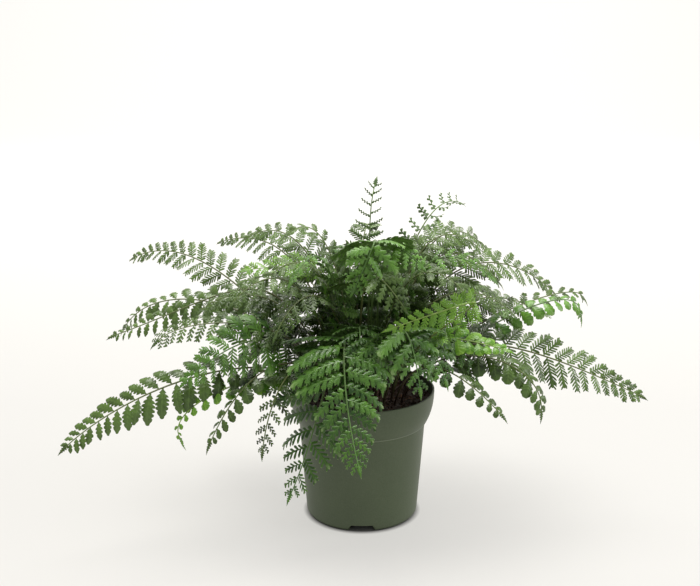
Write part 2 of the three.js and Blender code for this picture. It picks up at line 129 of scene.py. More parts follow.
# How a leaflet is bent: how far it arches up for its sag and length, how far its halves fold down for its
# width in one sheet and on a pinna's web, and how far pinnules fold, hang and curl.
LEAF_ARCH = 0.22
SHEET_FOLD = 0.3
WEB_FOLD = 0.1
PINNULE_FOLD = 0.12
PINNULE_SAG = 0.08
PINNULE_CURL = 0.3

# A frond's midline, as in the part's source: the chords that its length is measured on, how far its stalk
# leans out as a share of its reach, how far it bows against its swing, how soon its roll is complete,
# and how much of the blade carries leaflets.
MIDLINE_CHORDS = 200
STALK_LEAN = 0.12
BOW_AGAINST_SWING = 0.35
ROLL_GROWTH = 1.6
LEAFY_SHARE = 0.97
LEAST_PAIRS = 4
MOST_PAIRS = 10
FIRST_FROND_SEED = 4100

# How irregular leaflets are: standard deviations in degrees, and ranges as shares of what is regular
RISE_SPREAD = 5
TURN_SPREAD = 3
TWIST_SPREAD = 14
LENGTH_RANGE = (0.88, 1.08)
SAG_RANGE = (0.6, 1.5)

# A leaf's tone goes by chance for a share, and for the rest by its place in a dome of this radius and top
# above the rim, in millimetres: dark up to a share of the way out, and lighter over the next share. The
# part by place is painted shade deep inside the dome and painted light on its outside.
DOME_RADIUS = 190.0
DOME_HEIGHT = 140.0
DOME_DARK_SHARE = 0.45
DOME_FADE_SHARE = 0.5
TONE_BY_CHANCE = 0.35

# The narrow blade that ends a frond: its place, and its length and width on leaflets in one sheet and on
# pinnae, in millimetres.
FROND_TIP_PLACE = 0.965
SHEET_TIP_SIZE = (11, 4.6)
PINNA_TIP_SIZE = (10, 4.4)

# Faces that meet at more than this angle have a sharp edge between them.
SHARP_DEGREES = 62

# Backdrop, in metres: a floor that curves up into a wall
BACKDROP_FRONT = -6.0
BACKDROP_CURVE_START = 2.5
BACKDROP_CURVE_RADIUS = 1.2
BACKDROP_TOP = 6.0
BACKDROP_HALF_WIDTH = 7.0
BACKDROP_BELOW_POT = 0.0002

# Softboxes: name, place and target in metres, width, height, watts and colour
SOFTBOXES = [
    ("overhead_softbox", (-0.1, 0.3, 1.7), (0, 0, 0.1), 1.3, 1.0, 36.0, "#fffdf8"),
    ("right_softbox", (1.5, -0.1, 0.9), (0, 0, 0.15), 0.9, 0.9, 11.5, "#fdfdff"),
    ("backdrop_light", (0.0, 1.2, 2.0), (0, 3.7, 0.8), 3.4, 0.8, 150.0, "#ffffff"),
]
ROOM_LIGHT = 0.58

# The paper's glow, painted light that fills the shadow around the pot, and the radii in millimetres between
# which it grows from nothing by the pot's foot
PAPER_PAINTED_GLOW = 0.55
GLOW_FROM_RADIUS = 44.5
GLOW_FULL_RADIUS = 50.0

# Colours of the leaves and stalks, in sRGB. glow is the light that shows through a leaf, gloss its
# roughness, tip the colour of a thin rim at the leaflets' tips, a painted highlight of their glossy ends,
# and stalk the stalk's colours at its foot, middle and tip.
FINISHES = {
    "mature": dict(
        dark="#0f1d06", light="#627f3b", rib="#6c8845", under="#32471b", glow="#7a9a26", tip="#54722f",
        gloss=0.26, stalk=("#2b1c12", "#4c4a28", "#5f7038"),
    ),
    "fresh": dict(
        dark="#1f420e", light="#6c9d3a", rib="#7fa04c", under="#4f6b32", glow="#8fb534", tip="#8fa86c",
        gloss=0.28, stalk=("#33241a", "#4a5a2c", "#537a36"),
    ),
    "young": dict(
        dark="#42751a", light="#7ba832", rib="#9cbc54", under="#6f9440", glow="#a8d440", tip="#93bb4a",
        gloss=0.45, stalk=("#3f3a20", "#6a7a35", "#7c9942"),
    ),
    "unfurling": dict(
        dark="#3a5427", light="#58763b", rib="#6f8650", under="#546b40", glow="#7f9c44", tip="#4f6c34",
        gloss=0.45, stalk=("#2f2618", "#4d5c30", "#5f7a3c"),
    ),
}

# Share of the light that a leaf lets through, and the angle in radians that the sine of its side veins
# runs through along it
LEAF_CLEARNESS = 0.1
VEIN_ANGLE = 37.0

# Sizes of the materials' patterns, in millimetres. A leaf's cells and the pot's grain are finer than
# this, and are drawn coarse enough to show.
LEAF_PATCH = 6.0
LEAF_CELL = 1.5
STALK_FLECK = 2.0
POT_CLOUD = 30.0
POT_GRAIN = 0.9
PEAT_PATCH = 5.0
PEAT_GRIT = 1.2
FIBRE_PATCH = 4.0

# A painted highlight along the band's lower edge, a thin pale line, in millimetres: how far its middle is
# above the band's foot, and how far from there it is fully pale and gone.
EDGE_HIGHLIGHT_ABOVE_FOOT = 0.2
EDGE_HIGHLIGHT_FULL = 0.3
EDGE_HIGHLIGHT_GONE = 0.7

# Leaflets in one sheet: where they are broadest, how blunt their tips are, how deep their slits go, their
# width for their length, how far their tips curl under, and how many there are for each of the source's.
SHEETS = {
    "lobed": dict(broadest=0.42, blunt=0.6, slit=0.6, wide=0.56, curl=0.8, many=2.1),
    "rounded": dict(broadest=0.56, blunt=0.5, slit=0.4, wide=0.84, curl=0.7, many=2.1),
}

# How each kind of pinna is divided: its lobes' shape, the pairs of lobes for the square root of its
# length in millimetres, their length for its length to the 0.75, their width for their length, forward
# angles at its foot and tip, the width of the web along its midrib, the midrib's half width, and how many
# pinnae there are for each of the source's.
PINNAE = {
    "feathery": dict(
        blade="pinnule", pairs=1.85, reach=0.64, wide=0.25, back=60, front=34, web=1.15, rib=0.5, many=2.4
    ),
    "coarse": dict(
        blade="pinnule", pairs=1.3, reach=0.62, wide=0.32, back=60, front=38, web=1.0, rib=0.5, many=2.0
    ),
    "cut": dict(
        blade="wedge", pairs=1.15, reach=0.56, wide=0.5, back=58, front=34, web=0.9, rib=0.4, many=2.5
    ),
    "tufted": dict(
        blade="pinnule", pairs=1.5, reach=0.66, wide=0.22, back=58, front=36, web=0.6, rib=0.4, many=2.4
    ),
    "knobbed": dict(
        blade="knob", pairs=1.4, reach=0.25, wide=0.9, back=76, front=60, web=0.6, rib=0.9, many=1.4
    ),
    "joined": dict(
        blade="wedge", pairs=1.1, reach=0.6, wide=0.56, back=54, front=34, web=1.6, rib=0.3, many=2.1
    ),
    "opening": dict(
        blade="wedge", pairs=1.0, reach=0.66, wide=0.6, back=62, front=40, web=0.9, rib=0.8, many=1.1
    ),
}
LEAST_PINNULE_PAIRS = 2
MOST_PINNULE_PAIRS = 12

# How each kind of frond carries its leaflets, as in the part's source. leaf is the longest leaflet,
# bare the share of the frond that is a bare stalk, wide the leaflet's width for its length, back and
# front the forward angles at the blade's foot and tip, lift the angle that the leaflets rise out of the
# frond's plane, sag how far their tips hang for their length, and step the distance between neighbours.
FORMS = {
    "broad": dict(leaf=27, bare=0.3, wide=0.6, back=76, front=50, lift=-4, sag=0.16, step=19),
    "fine": dict(leaf=33, bare=0.26, wide=0.5, back=74, front=48, lift=4, sag=0.12, step=21),
    "cut": dict(leaf=44, bare=0.3, wide=0.42, back=88, front=44, lift=2, sag=0.2, step=20),
    "fan": dict(leaf=36, bare=0.62, wide=0.46, back=88, front=44, lift=2, sag=0.2, step=12),
    "young": dict(leaf=24, bare=0.3, wide=0.5, back=72, front=50, lift=6, sag=0.08, step=17),
    "crozier": dict(leaf=15, bare=0.42, wide=0.4, back=84, front=70, lift=10, sag=-0.3, step=12),
}

# Every frond: name, form, heading in degrees from +X, reach of the tip from the axis, height of the tip,
# height that the stalk rises towards, height that the blade bows over at, how far out it bows as a share
# of the reach, sideways swing of the tip, roll of the blade in degrees, size of its leaflets, distance
# of the stem's foot from the axis, and how far that foot is turned from the heading.
FRONDS = [
    ["frond_left_long", "broad", 204, 248, 92, 163, 141, 0.77, 0, -54, 0.85, 36, 0],
    ["frond_right_long", "fine", -9, 229, 113, 172, 160, 0.53, 0, 54, 1, 36, 0],
    ["frond_front_middle", "cut", -101, 130, 90, 222, 156, 0.61, 24, 0, 1.3, 36, 0],
    ["frond_left_upper_fine", "fine", 152, 240, 190, 127, 243, 0.64, 0, -50, 0.88, 26, 11],
    ["frond_left_top_fine", "fine", 138, 178, 205, 215, 232, 0.6, 0, -50, 0.74, 26, 5],
    ["frond_left_middle", "broad", 179, 210, 150, 240, 188, 0.49, 0, -46, 0.7, 36, 0],
    ["frond_left_middle_back", "broad", 169, 210, 144, 178, 202, 0.86, 0, -46, 0.7, 36, 1],
    ["frond_left_short", "broad", 201, 171, 163, 190, 186, 0.95, 0, -28, 0.85, 26, 6],
    ["frond_left_bright", "young", 191, 97, 213, 236, 216, 0.3, 0, -30, 1.2, 15, 0],
    ["frond_top_unfurling", "crozier", 50, 22, 280, 250, 255, 0.2, 4, 40, 1.4, 7, 0],
    ["frond_top_right_open", "crozier", 45, 126, 246, 168, 278, 0.54, 0, 30, 1.3, 15, 0],
    ["frond_top_front", "fan", -80, 60, 205, 267, 270, 1.4, -19, 0, 1.1, 15, 12],
    ["frond_top_front_right", "fan", -65, 61, 222, 233, 258, 0.53, 23, 10, 1, 15, 23],
    ["frond_inner_front_right", "fan", -84, 74, 195, 213, 247, 0.94, 25, 0, 0.95, 15, -16],
    ["frond_right_top_fine", "fine", 17, 173, 176, 218, 232, 0.66, 0, 40, 1, 26, 0],
    ["frond_right_curled", "broad", 1, 179, 165, 128, 224, 1.03, 0, 34, 0.58, 26, 0],
    ["frond_right_curled_back", "fine", 9, 187, 174, 156, 205, 1.05, 0, 34, 0.62, 36, 2],
    ["frond_right_bright_fine", "young", -37, 72, 187, 167, 239, 2.6, -68, 72, 0.9, 28, -13],
    ["frond_right_bright_lobed", "young", -28, 127, 160, 168, 166, 0.58, 0, 30, 1.05, 26, 12],
    ["frond_right_low_dark", "broad", -42, 141, 120, 158, 150, 0.69, 0, 16, 0.56, 36, 0],
    ["frond_right_low_hook", "broad", -25, 153, 108, 166, 163, 1.04, 0, 28, 0.66, 36, 0],
    ["frond_left_low_light", "young", 207, 159, 92, 156, 122, 1.15, 10, -24, 0.7, 36, 8],
    ["frond_left_low_dark", "broad", 216, 145, 90, 160, 162, 0.74, 0, -16, 0.56, 36, 10],
    ["frond_front_left_hanging", "cut", 241, 107, 50, 199, 98, 0.6, -5, 0, 1.15, 36, 5],
    ["frond_front_left_dark", "broad", 230, 118, 86, 172, 160, 0.9, 0, -8, 0.7, 36, 7],
    ["frond_front_right_hanging", "cut", -62, 94, 134, 186, 200, 0.8, 0, 6, 1.2, 36, 0],
    ["frond_inner_front_left", "broad", 226, 96, 172, 214, 216, 0.72, 0, -8, 0.95, 15, 14],
    ["frond_inner_left_front", "broad", 212, 118, 196, 215, 232, 0.7, 0, -18, 0.9, 26, 6],
    ["frond_back_top", "fine", 100, 137, 180, 214, 232, 0.66, 0, 0, 1, 26, 0],
    ["frond_back_right_top", "fine", 66, 145, 182, 208, 236, 0.66, 0, 8, 1, 26, 0],
    ["frond_back_left", "broad", 121, 152, 152, 186, 204, 0.7, 0, -6, 1, 36, 0],
    ["frond_back_right", "broad", 41, 172, 150, 180, 204, 0.7, 0, 10, 1, 36, 0],
    ["frond_back_right_fine", "fine", 28, 190, 146, 176, 190, 0.62, 0, 16, 1, 36, 0],
    ["frond_back_left_fine", "fine", 150, 182, 142, 176, 186, 0.62, 0, -16, 1, 36, 0],
    ["frond_back_low", "broad", 90, 134, 96, 160, 160, 0.8, 0, 0, 0.95, 36, 0],
    ["frond_back_left_low", "broad", 134, 158, 92, 152, 148, 0.84, 0, 0, 0.95, 36, 0],
    ["frond_back_right_low", "fine", 58, 158, 98, 152, 150, 0.8, 0, 0, 0.95, 36, 0],
    ["frond_inner_back", "cut", 112, 66, 208, 216, 236, 0.62, 0, 0, 0.75, 7, 10],
    ["frond_inner_back_right", "broad", 74, 88, 206, 220, 236, 0.68, 0, 0, 0.9, 15, 10],
    ["frond_low_front_left", "cut", 242, 94, 128, 168, 172, 0.82, 0, 0, 1.05, 26, 0],
    ["frond_low_front", "cut", -80, 88, 138, 182, 190, 0.82, 0, 0, 1, 26, -10],
    ["frond_low_front_right", "cut", -49, 98, 138, 174, 184, 0.8, 0, 8, 1.15, 20, -10],
    ["frond_left_inner", "broad", 188, 132, 178, 196, 206, 0.78, 0, -20, 0.9, 26, 0],
    ["frond_right_upper_fine", "fine", 32, 140, 196, 236, 262, 0.64, 0, 30, 1, 26, 0],
    ["frond_right_upper_front", "cut", -14, 108, 206, 224, 246, 0.62, 0, 30, 0.7, 15, 0],
    ["frond_left_upper_inner", "fine", 156, 112, 222, 222, 256, 0.6, 0, -34, 0.9, 15, 0],
    ["frond_left_upper_front", "cut", 229, 84, 212, 232, 250, 0.62, 0, -10, 0.7, 15, -13],
    ["frond_top_left", "fine", 172, 66, 232, 236, 262, 0.6, 0, -20, 0.8, 7, 20],
    ["frond_top_back", "fine", 84, 74, 226, 232, 252, 0.6, 0, 0, 0.9, 15, 30],
    ["frond_right_inner", "broad", -4, 124, 172, 200, 210, 0.74, 0, 26, 0.95, 20, -16],
    ["frond_right_low_inner", "cut", -30, 104, 132, 178, 182, 0.8, 0, 18, 0.72, 28, -2],
    ["frond_left_low_inner", "cut", 212, 160, 140, 176, 176, 0.7, 0, -62, 1, 38, -21],
    ["frond_inner_right", "fine", -30, 96, 196, 214, 236, 0.66, 0, 20, 0.85, 9, 30],
    ["frond_inner_left", "fine", 210, 92, 206, 226, 240, 0.64, 0, -20, 0.85, 11, -4],
    ["frond_top_right", "broad", 18, 104, 218, 226, 256, 0.62, 0, 24, 0.85, 20, 8],
    ["frond_back_inner_low", "broad", 108, 112, 140, 178, 188, 0.76, 0, 0, 0.95, 28, 12],
    ["frond_front_inner", "cut", -91, 84, 148, 190, 192, 0.72, 0, 0, 1, 24, -8],
    ["frond_right_dome", "fine", 11, 118, 190, 222, 248, 0.62, 0, 26, 0.95, 18, -4],
]

# Leaflets and finish of each form, and of the fronds that don't have those of their form
LOOKS = {
    "broad": ("lobed", "mature"),
    "fine": ("feathery", "mature"),
    "cut": ("cut", "fresh"),
    "fan": ("joined", "fresh"),
    "young": ("tufted", "young"),
    "crozier": ("knobbed", "unfurling"),
}
EXCEPTIONS = {
    "frond_right_bright_lobed": ("rounded", "young"),
    "frond_left_low_light": ("rounded", "young"),
    "frond_left_low_inner": ("feathery", "fresh"),
    "frond_front_right_hanging": ("joined", "fresh"),
    "frond_low_front_right": ("joined", "fresh"),
    "frond_right_low_inner": ("joined", "fresh"),
    "frond_right_curled": ("rounded", "fresh"),
    "frond_top_right_open": ("opening", "unfurling"),
    "frond_front_left_hanging": ("coarse", "fresh"),
    "frond_left_low_dark": ("rounded", "mature"),
    "frond_right_low_dark": ("rounded", "mature"),
    "frond_right_low_hook": ("rounded", "mature"),
    "frond_back_left_low": ("rounded", "mature"),
    "frond_back_low": ("rounded", "mature"),
    "frond_inner_front_left": ("cut", "mature"),
    "frond_inner_front_right": ("joined", "mature"),
    "frond_front_left_dark": ("cut", "mature"),
    "frond_left_short": ("cut", "mature"),
    "frond_left_inner": ("cut", "mature"),
    "frond_inner_left_front": ("cut", "mature"),
    "frond_right_inner": ("cut", "mature"),
    "frond_top_right": ("feathery", "mature"),
}


def mix(a, b, t):
    """The value at share t of the way from a to b."""
    return a + (b - a) * t


def unit(vectors):
    """Vectors divided by their lengths."""
    return vectors / np.linalg.norm(vectors, axis=-1, keepdims=True)


def squared_to(vectors, axis):
    """The parts of vectors at right angles to axis, as unit vectors."""
    return unit(vectors - np.sum(vectors * axis, axis=-1, keepdims=True) * axis)


def turned(vectors, axis, degrees):
    """Vectors turned about unit axes at right angles to them.

    The result is the vector by the angle's cosine plus the axis crossed with it by the sine.
    """
    angle = np.radians(degrees)[..., None]
    return vectors * np.cos(angle) + np.cross(axis, vectors) * np.sin(angle)


class Frond:
    """One frond's midline, laid out as in the part's source.

    The midline is a cubic Bezier curve: from the soil, through a point above its foot and a point where
    it bows over, to the tip. Places along it are found by length, on short chords.
    """

    def __init__(self, row, number):
        self.name, self.form, heading, reach, tip, rise, crest, lean, swing, roll, size, ring, turn = row
        self.kind = FORMS[self.form]
        self.roll = roll
        self.size = size
        self.random = np.random.default_rng(FIRST_FROND_SEED + number)
        angle = np.radians(heading)
        at = np.radians(heading + turn)
        out = np.array([np.cos(angle), np.sin(angle), 0.0])
        self.side = np.array([-out[1], out[0], 0.0])
        self.foot = np.array([ring * np.cos(at), ring * np.sin(at), STEM_FOOT])
        start = self.foot + (0, 0, STEM_START - STEM_FOOT)
        rising = start + out * STALK_LEAN * reach
        rising[2] = rise
        bow = out * lean * reach - self.side * BOW_AGAINST_SWING * swing + (0, 0, crest)
        end = out * reach + self.side * swing + (0, 0, tip)
        self.corners = (start, rising, bow, end)
        self.steps = np.linspace(0, 1, MIDLINE_CHORDS + 1)
        chords = np.linalg.norm(np.diff(self.curve(self.steps), axis=0), axis=1)
        self.lengths = np.concatenate([[0], np.cumsum(chords)])
        self.length = self.lengths[-1]
        blade = self.length * (1 - self.kind["bare"])
        pairs = np.floor(blade / self.kind["step"] + 0.5) - 1
        self.pairs = int(np.clip(pairs, LEAST_PAIRS, MOST_PAIRS))

    def curve(self, t):
        """Points of the Bezier curve at t: its four corners, weighted by the cubic Bernstein terms."""
        t = np.asarray(t, float)[..., None]
        a, b, c, d = self.corners
        return (1 - t) ** 3 * a + 3 * (1 - t) ** 2 * t * b + 3 * (1 - t) * t**2 * c + t**3 * d

    def places(self, share):
        """Centre, and the directions along, to the side and up, at shares of the midline's length.

        The side starts square to the heading and rolls about the midline, more and more with the share.
        """
        t = np.interp(np.asarray(share) * self.length, self.lengths, self.steps)
        near = 1e-4
        along = unit(self.curve(np.minimum(t + near, 1)) - self.curve(np.maximum(t - near, 0)))
        across = squared_to(np.broadcast_to(self.side, along.shape), along)
        up = np.cross(along, across)
        roll = (np.radians(self.roll) * np.minimum(1, np.asarray(share) * ROLL_GROWTH))[..., None]
        side = across * np.cos(roll) + up * np.sin(roll)
        return self.curve(t), along, side, up * np.cos(roll) - across * np.sin(roll)

    def blade_share(self, u):
        """Share of the midline's length at u along the blade."""
        return self.kind["bare"] + (1 - self.kind["bare"]) * LEAFY_SHARE * u


def leaf_share(form, u):
    """Length of a leaflet at u along the blade, as a share of the frond's longest.

    It falls to the tip as a power of u or of one less u, and on broad, cut and fan fronds it first rises
    in a straight line over the foot of the blade.
    """
    u = np.clip(u, 0, 1)
    if form == "broad":
        return (0.3 + 0.7 * (1 - u**2.2)) * np.minimum(1, 0.72 + 1.6 * u)
    if form in ("cut", "fan"):
        return (0.12 + 0.88 * (1 - u) ** 1.05) * np.minimum(1, 0.78 + 1.5 * u)
    if form == "crozier":
        return 0.3 + 0.7 * (1 - u)
    return 0.16 + 0.84 * (1 - u) ** 0.8


def aimed(kind, hand, u, rise, along, side, up):
    """Leaflets' directions: reach out of the stem, breadth towards the frond's tip, and upper normal.

    The reach leans from the stem's direction to the side by the forward angle, and the side is tilted up
    by the lift and the leaflet's own rise.
    """
    forward = np.radians(mix(kind["back"], kind["front"], np.clip(u, 0, 1)))[:, None]
    tilt = np.radians(kind["lift"] + rise)[:, None]
    outward = side * hand[:, None] * np.cos(tilt) + up * np.sin(tilt)
    reach = along * np.cos(forward) + outward * np.sin(forward)
    breadth = squared_to(along, reach)
    return reach, breadth, np.cross(breadth, reach) * hand[:, None]


class Leaflets:
    """A frond's own leaflets: nearly opposite, closer together towards its tip, each a little irregular.

    many is the number of them for each of the source's, crowding how much wider than the mean the spacing
    is at the blade's foot, and late the power of the place by which it shrinks.
    """

    def __init__(self, frond, many, crowding, late):
        kind = frond.kind
        number = round(many * frond.pairs)
        place = (np.arange(number)[:, None] + [0.15, 0.45]).T.ravel() / number
        self.u = place * (crowding - (crowding - 1) * place**late)
        self.hand = np.repeat([1.0, -1.0], number)
        count = len(self.u)
        random = frond.random
        self.share = frond.blade_share(self.u)
        centre, along, side, up = frond.places(self.share)
        rise = random.normal(0, RISE_SPREAD, count)
        self.reach, self.breadth, self.normal = aimed(kind, self.hand, self.u, rise, along, side, up)
        self.reach = turned(self.reach, self.normal, random.normal(0, TURN_SPREAD, count))
        self.breadth = squared_to(self.breadth, self.reach)
        self.breadth = turned(self.breadth, self.reach, random.normal(0, TWIST_SPREAD, count))
        self.normal = np.cross(self.breadth, self.reach) * self.hand[:, None]
        length = kind["leaf"] * frond.size * leaf_share(frond.form, self.u)
        self.length = length * random.uniform(*LENGTH_RANGE, count)
        self.sag = kind["sag"] * random.uniform(*SAG_RANGE, count)
        thin = mix(1, STEM_TIP_SHARE, self.share)
        self.root = centre + side * (self.hand * thin * STEM_WIDTH * ROOTS_OUT)[:, None]
        # painted shade and light: a leaflet's tone is darker deep inside the dome and lighter on its
        # outside
        out = np.hypot(self.root[:, 0], self.root[:, 1]) / DOME_RADIUS
        outer = np.hypot(out, np.maximum(self.root[:, 2] - RIM_TOP, 0) / DOME_HEIGHT)
        painted_shade_by_place = np.clip((outer - DOME_DARK_SHARE) / DOME_FADE_SHARE, 0, 1)
        by_chance = random.uniform(0, 1, count)
        self.tone = TONE_BY_CHANCE * by_chance + (1 - TONE_BY_CHANCE) * painted_shade_by_place

    def frames(self, these):
        """Root and directions of some of the leaflets: reach, breadth and normal."""
        return self.root[these], self.reach[these], self.breadth[these], self.normal[these]


def skin(rows, ring):
    """Faces of a closed skin over rows of rings: corner numbers, and the corners of each face.

    Four-cornered faces join each ring to the next, and one face closes each end.
    """
    row, place = np.meshgrid(np.arange(rows - 1), np.arange(ring), indexing="ij")
    a = row * ring + place
    b = row * ring + (place + 1) % ring
    quads = np.stack([a, b, b + ring, a + ring], axis=-1).reshape(-1)
    near = np.arange(ring)[::-1]
    far = (rows - 1) * ring + np.arange(ring)
    sides = np.concatenate([np.full((rows - 1) * ring, 4), [ring, ring]])
    return np.concatenate([quads, near, far]), sides


class Blade:
    """A flat closed blade, one long and one wide: rings that go over its upper side and back below.

    along is each row's place from root to tip, half the distance of its edges from the midrib, and shift
    how far points of a row stand ahead of it. plain says that it has no pale midrib.
    """

    def __init__(self, along, half, shift=0.0, columns=2, plain=False):
        over = np.linspace(-1, 1, columns + 1)
        order = np.concatenate([np.arange(columns + 1), np.arange(columns - 1, 0, -1)])
        rows = np.asarray(along, float)[:, None] + np.zeros(columns + 1)
        self.l = (rows + shift)[:, order].ravel()
        self.w = (np.asarray(half, float)[:, None] * over)[:, order].ravel()
        edge = np.abs(over[order]) == 1
        side = np.where(edge, 0.0, 1.0)
        side[columns + 1 :] = -1.0
        self.side = np.tile(side, len(rows))
        self.edge = np.tile(np.maximum(np.abs(over[order]), 0.3 * plain), len(rows))
        self.loops, self.sides = skin(len(rows), 2 * columns)
        ends = np.cumsum(self.sides)
        flipped = np.repeat(ends + ends - self.sides - 1, self.sides) - np.arange(len(self.loops))
        self.flipped = self.loops[flipped]


def lobed_blade(lobes, broadest, blunt, slit):
    """An oval leaflet on a short stalk, its edges cut by a slit between each two lobes.

    The half width rises as a sine to its broadest place. From there to the tip it falls as a power of
    what a square leaves of one, which is an ellipse at a half. Each lobe has three rows: its slit's
    floor, its near shoulder and its crown, which points forward. The first slit takes the share slit of
    the half width, the last one 0.4 of that.
    """
    at = (np.repeat(np.arange(lobes), 3) + np.tile([0.0, 0.22, 0.64], lobes)) / lobes
    cut = np.tile([1.0, 0.16, 0.0], lobes) * mix(slit, 0.4 * slit, at)
    along = np.concatenate([[0.0, 0.03], 0.05 + 0.86 * at, [0.93, 0.97, 1.0]])
    cut = np.concatenate([[0.0, 0.0], cut, [0.4 * slit, 0.0, 0.0]])
    rise = np.sin(np.clip(along / broadest, 0, 1) * np.pi / 2)
    fall = (1 - np.clip((along - broadest) / (1.01 - broadest), 0, 1) ** 2) ** blunt
    half = np.maximum(0.5 * np.maximum(rise, 0.08) * fall * (1 - cut), 0.05)
    half[:2] = 0.05, 0.08
    ahead = 0.1 * (half / 0.5) * (1 - along)
    return Blade(along, half, np.stack([ahead, 0 * ahead, ahead], axis=1))


def pinnule_blade():
    """A narrow strap-shaped pinnule, broadest past its middle, with a blunt tip."""
    return Blade([0, 0.75, 1.0], [0.38, 0.5, 0.26], plain=True)


def wedge_blade():
    """A wedge-shaped lobe, narrow at its foot, whose broad end is cut into three teeth."""
    shift = np.zeros((4, 5))
    shift[2] = [-0.02, -0.03, 0.04, -0.03, -0.05]
    shift[3] = [-0.06, -0.2, 0.05, -0.18, -0.1]
    return Blade([0, 0.3, 0.8, 0.98], [0.24, 0.37, 0.5, 0.42], shift, columns=4, plain=True)


def web_blade():
    """The green web along a pinna's midrib, which widens outwards to the pinna's tip."""
    along = np.array([0.0, 0.3, 0.6, 0.85, 0.96, 1.0])
    half = np.array([0.016, 0.024, 0.04, 0.056, 0.044, 0.01])
    ahead = 0.3 * half * along
    return Blade(along, half, np.stack([ahead, 0 * ahead, ahead], axis=1))


def knob_blade():
    """A tight green knob, the coiled tip of a leaflet that hasn't opened."""
    return Blade([0, 0.25, 0.65, 1.0], [0.2, 0.45, 0.5, 0.2], plain=True)


BLADES = {"pinnule": pinnule_blade(), "wedge": wedge_blade(), "knob": knob_blade()}
WEB = web_blade()
FROND_TIP = lobed_blade(5, 0.1, 1.3, 0.75)


class Piece:
    """Gathers the surfaces of one piece, in millimetres, and makes them one object.

    The leaf attribute holds, for each point, how far along its leaflet or stem it is, how far from the
    midrib, the leaflet's tone, which is partly painted shade and light by its place in the dome, and
    whether it is on the lower side.
    """

    def __init__(self):
        self.points, self.loops, self.sides, self.marks, self.slots = [], [], [], [], []
        self.count = 0

    def add(self, points, loops, sides, marks, slot):
        """Adds points, their faces as corner numbers and corners of each, marks and a material slot."""
        self.points.append(points.reshape(-1, 3))
        self.loops.append(loops.ravel() + self.count)
        self.sides.append(sides.ravel())
        self.marks.append(marks.reshape(-1, 4))
        self.slots.append(np.full(sides.size, slot))
        self.count += len(self.points[-1])

    def blades(self, blade, root, reach, breadth, normal, length, width, sag, fold, tone, curl=0.0):
        """Copies of a blade on roots.

        A point stands at root + reach * l * length + breadth * w * width. The blade arches up along its
        midrib as a sine, its halves fold down from it, its tip hangs by sag * length as l squared, and
        its outer half curls under by curl * length as the square of l past the middle. It is LEAF_THICK
        thick, or thinner where it is narrow.
        """
        l, w = blade.l, blade.w
        arch = LEAF_ARCH * sag[:, None] * length[:, None] * np.sin(np.pi * np.clip(l, 0, 1))
        lift = arch - (fold * width)[:, None] * np.abs(w)
        lift = lift - curl * length[:, None] * np.clip(l - 0.5, 0, 1) ** 2
        lift = lift + np.minimum(LEAF_THICK, 0.3 * width)[:, None] / 2 * blade.side
        points = root[:, None] + reach[:, None] * (l * length[:, None])[..., None]
        points = points + breadth[:, None] * (w * width[:, None])[..., None]
        points = points + normal[:, None] * lift[..., None]
        points[..., 2] -= sag[:, None] * length[:, None] * np.clip(l, 0, 2) ** 2
        marks = np.empty(points.shape[:2] + (4,))
        marks[..., 0] = l
        marks[..., 1] = blade.edge
        marks[..., 2] = tone[:, None]
        marks[..., 3] = blade.side < 0
        left = np.sum(np.cross(breadth, reach) * normal, axis=1) < 0
        base = (np.arange(len(root)) * len(l))[:, None]
        loops = np.where(left[:, None], blade.flipped, blade.loops) + base
        self.add(points, loops, np.tile(blade.sides, len(root)), marks, 0)

    def tubes(self, path, side, up, half_width, half_depth, tone, slot, ring=4):
        """Closed tubes along paths, one for each row of path.

        A point stands at path + side * half_width * cos(angle) + up * half_depth * sin(angle).
        """
        count, stations = path.shape[:2]
        angle = (np.arange(ring) + 0.5) * 2 * np.pi / ring
        points = path[:, :, None] + side[:, :, None] * (half_width[..., None] * np.cos(angle))[..., None]
        points = points + up[:, :, None] * (half_depth[..., None] * np.sin(angle))[..., None]
        loops, sides = skin(stations, ring)
        marks = np.zeros((count, stations, ring, 4))
        marks[..., 0] = np.linspace(0, 1, stations)[:, None]
        marks[..., 1] = 0.12 * np.abs(np.cos(angle))
        marks[..., 2] = tone[:, None, None]
        base = (np.arange(count) * stations * ring)[:, None]
        self.add(points, loops + base, np.tile(sides, count), marks, slot)

    def make(self, name, materials):
        """The object, with smooth faces and sharp edges, on the one body of the part."""
        mesh = bpy.data.meshes.new(name)
        points = np.concatenate(self.points) * MM
        loops, sides = np.concatenate(self.loops), np.concatenate(self.sides)
        mesh.vertices.add(len(points))
        mesh.vertices.foreach_set("co", points.ravel())
        mesh.loops.add(len(loops))
        mesh.loops.foreach_set("vertex_index", loops)
        mesh.polygons.add(len(sides))
        mesh.polygons.foreach_set("loop_start", np.cumsum(sides) - sides)
        mesh.polygons.foreach_set("material_index", np.concatenate(self.slots))
        mesh.update(calc_edges=True)
        mesh.shade_smooth()
        mesh.set_sharp_from_angle(angle=np.radians(SHARP_DEGREES))
        leaf = mesh.attributes.new("leaf", "FLOAT_COLOR", "POINT")
        leaf.data.foreach_set("color", np.concatenate(self.marks).ravel())
        for material in materials:
            mesh.materials.append(material)
        piece = bpy.data.objects.new(name, mesh)
        bpy.context.collection.objects.link(piece)
        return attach(piece, "root")


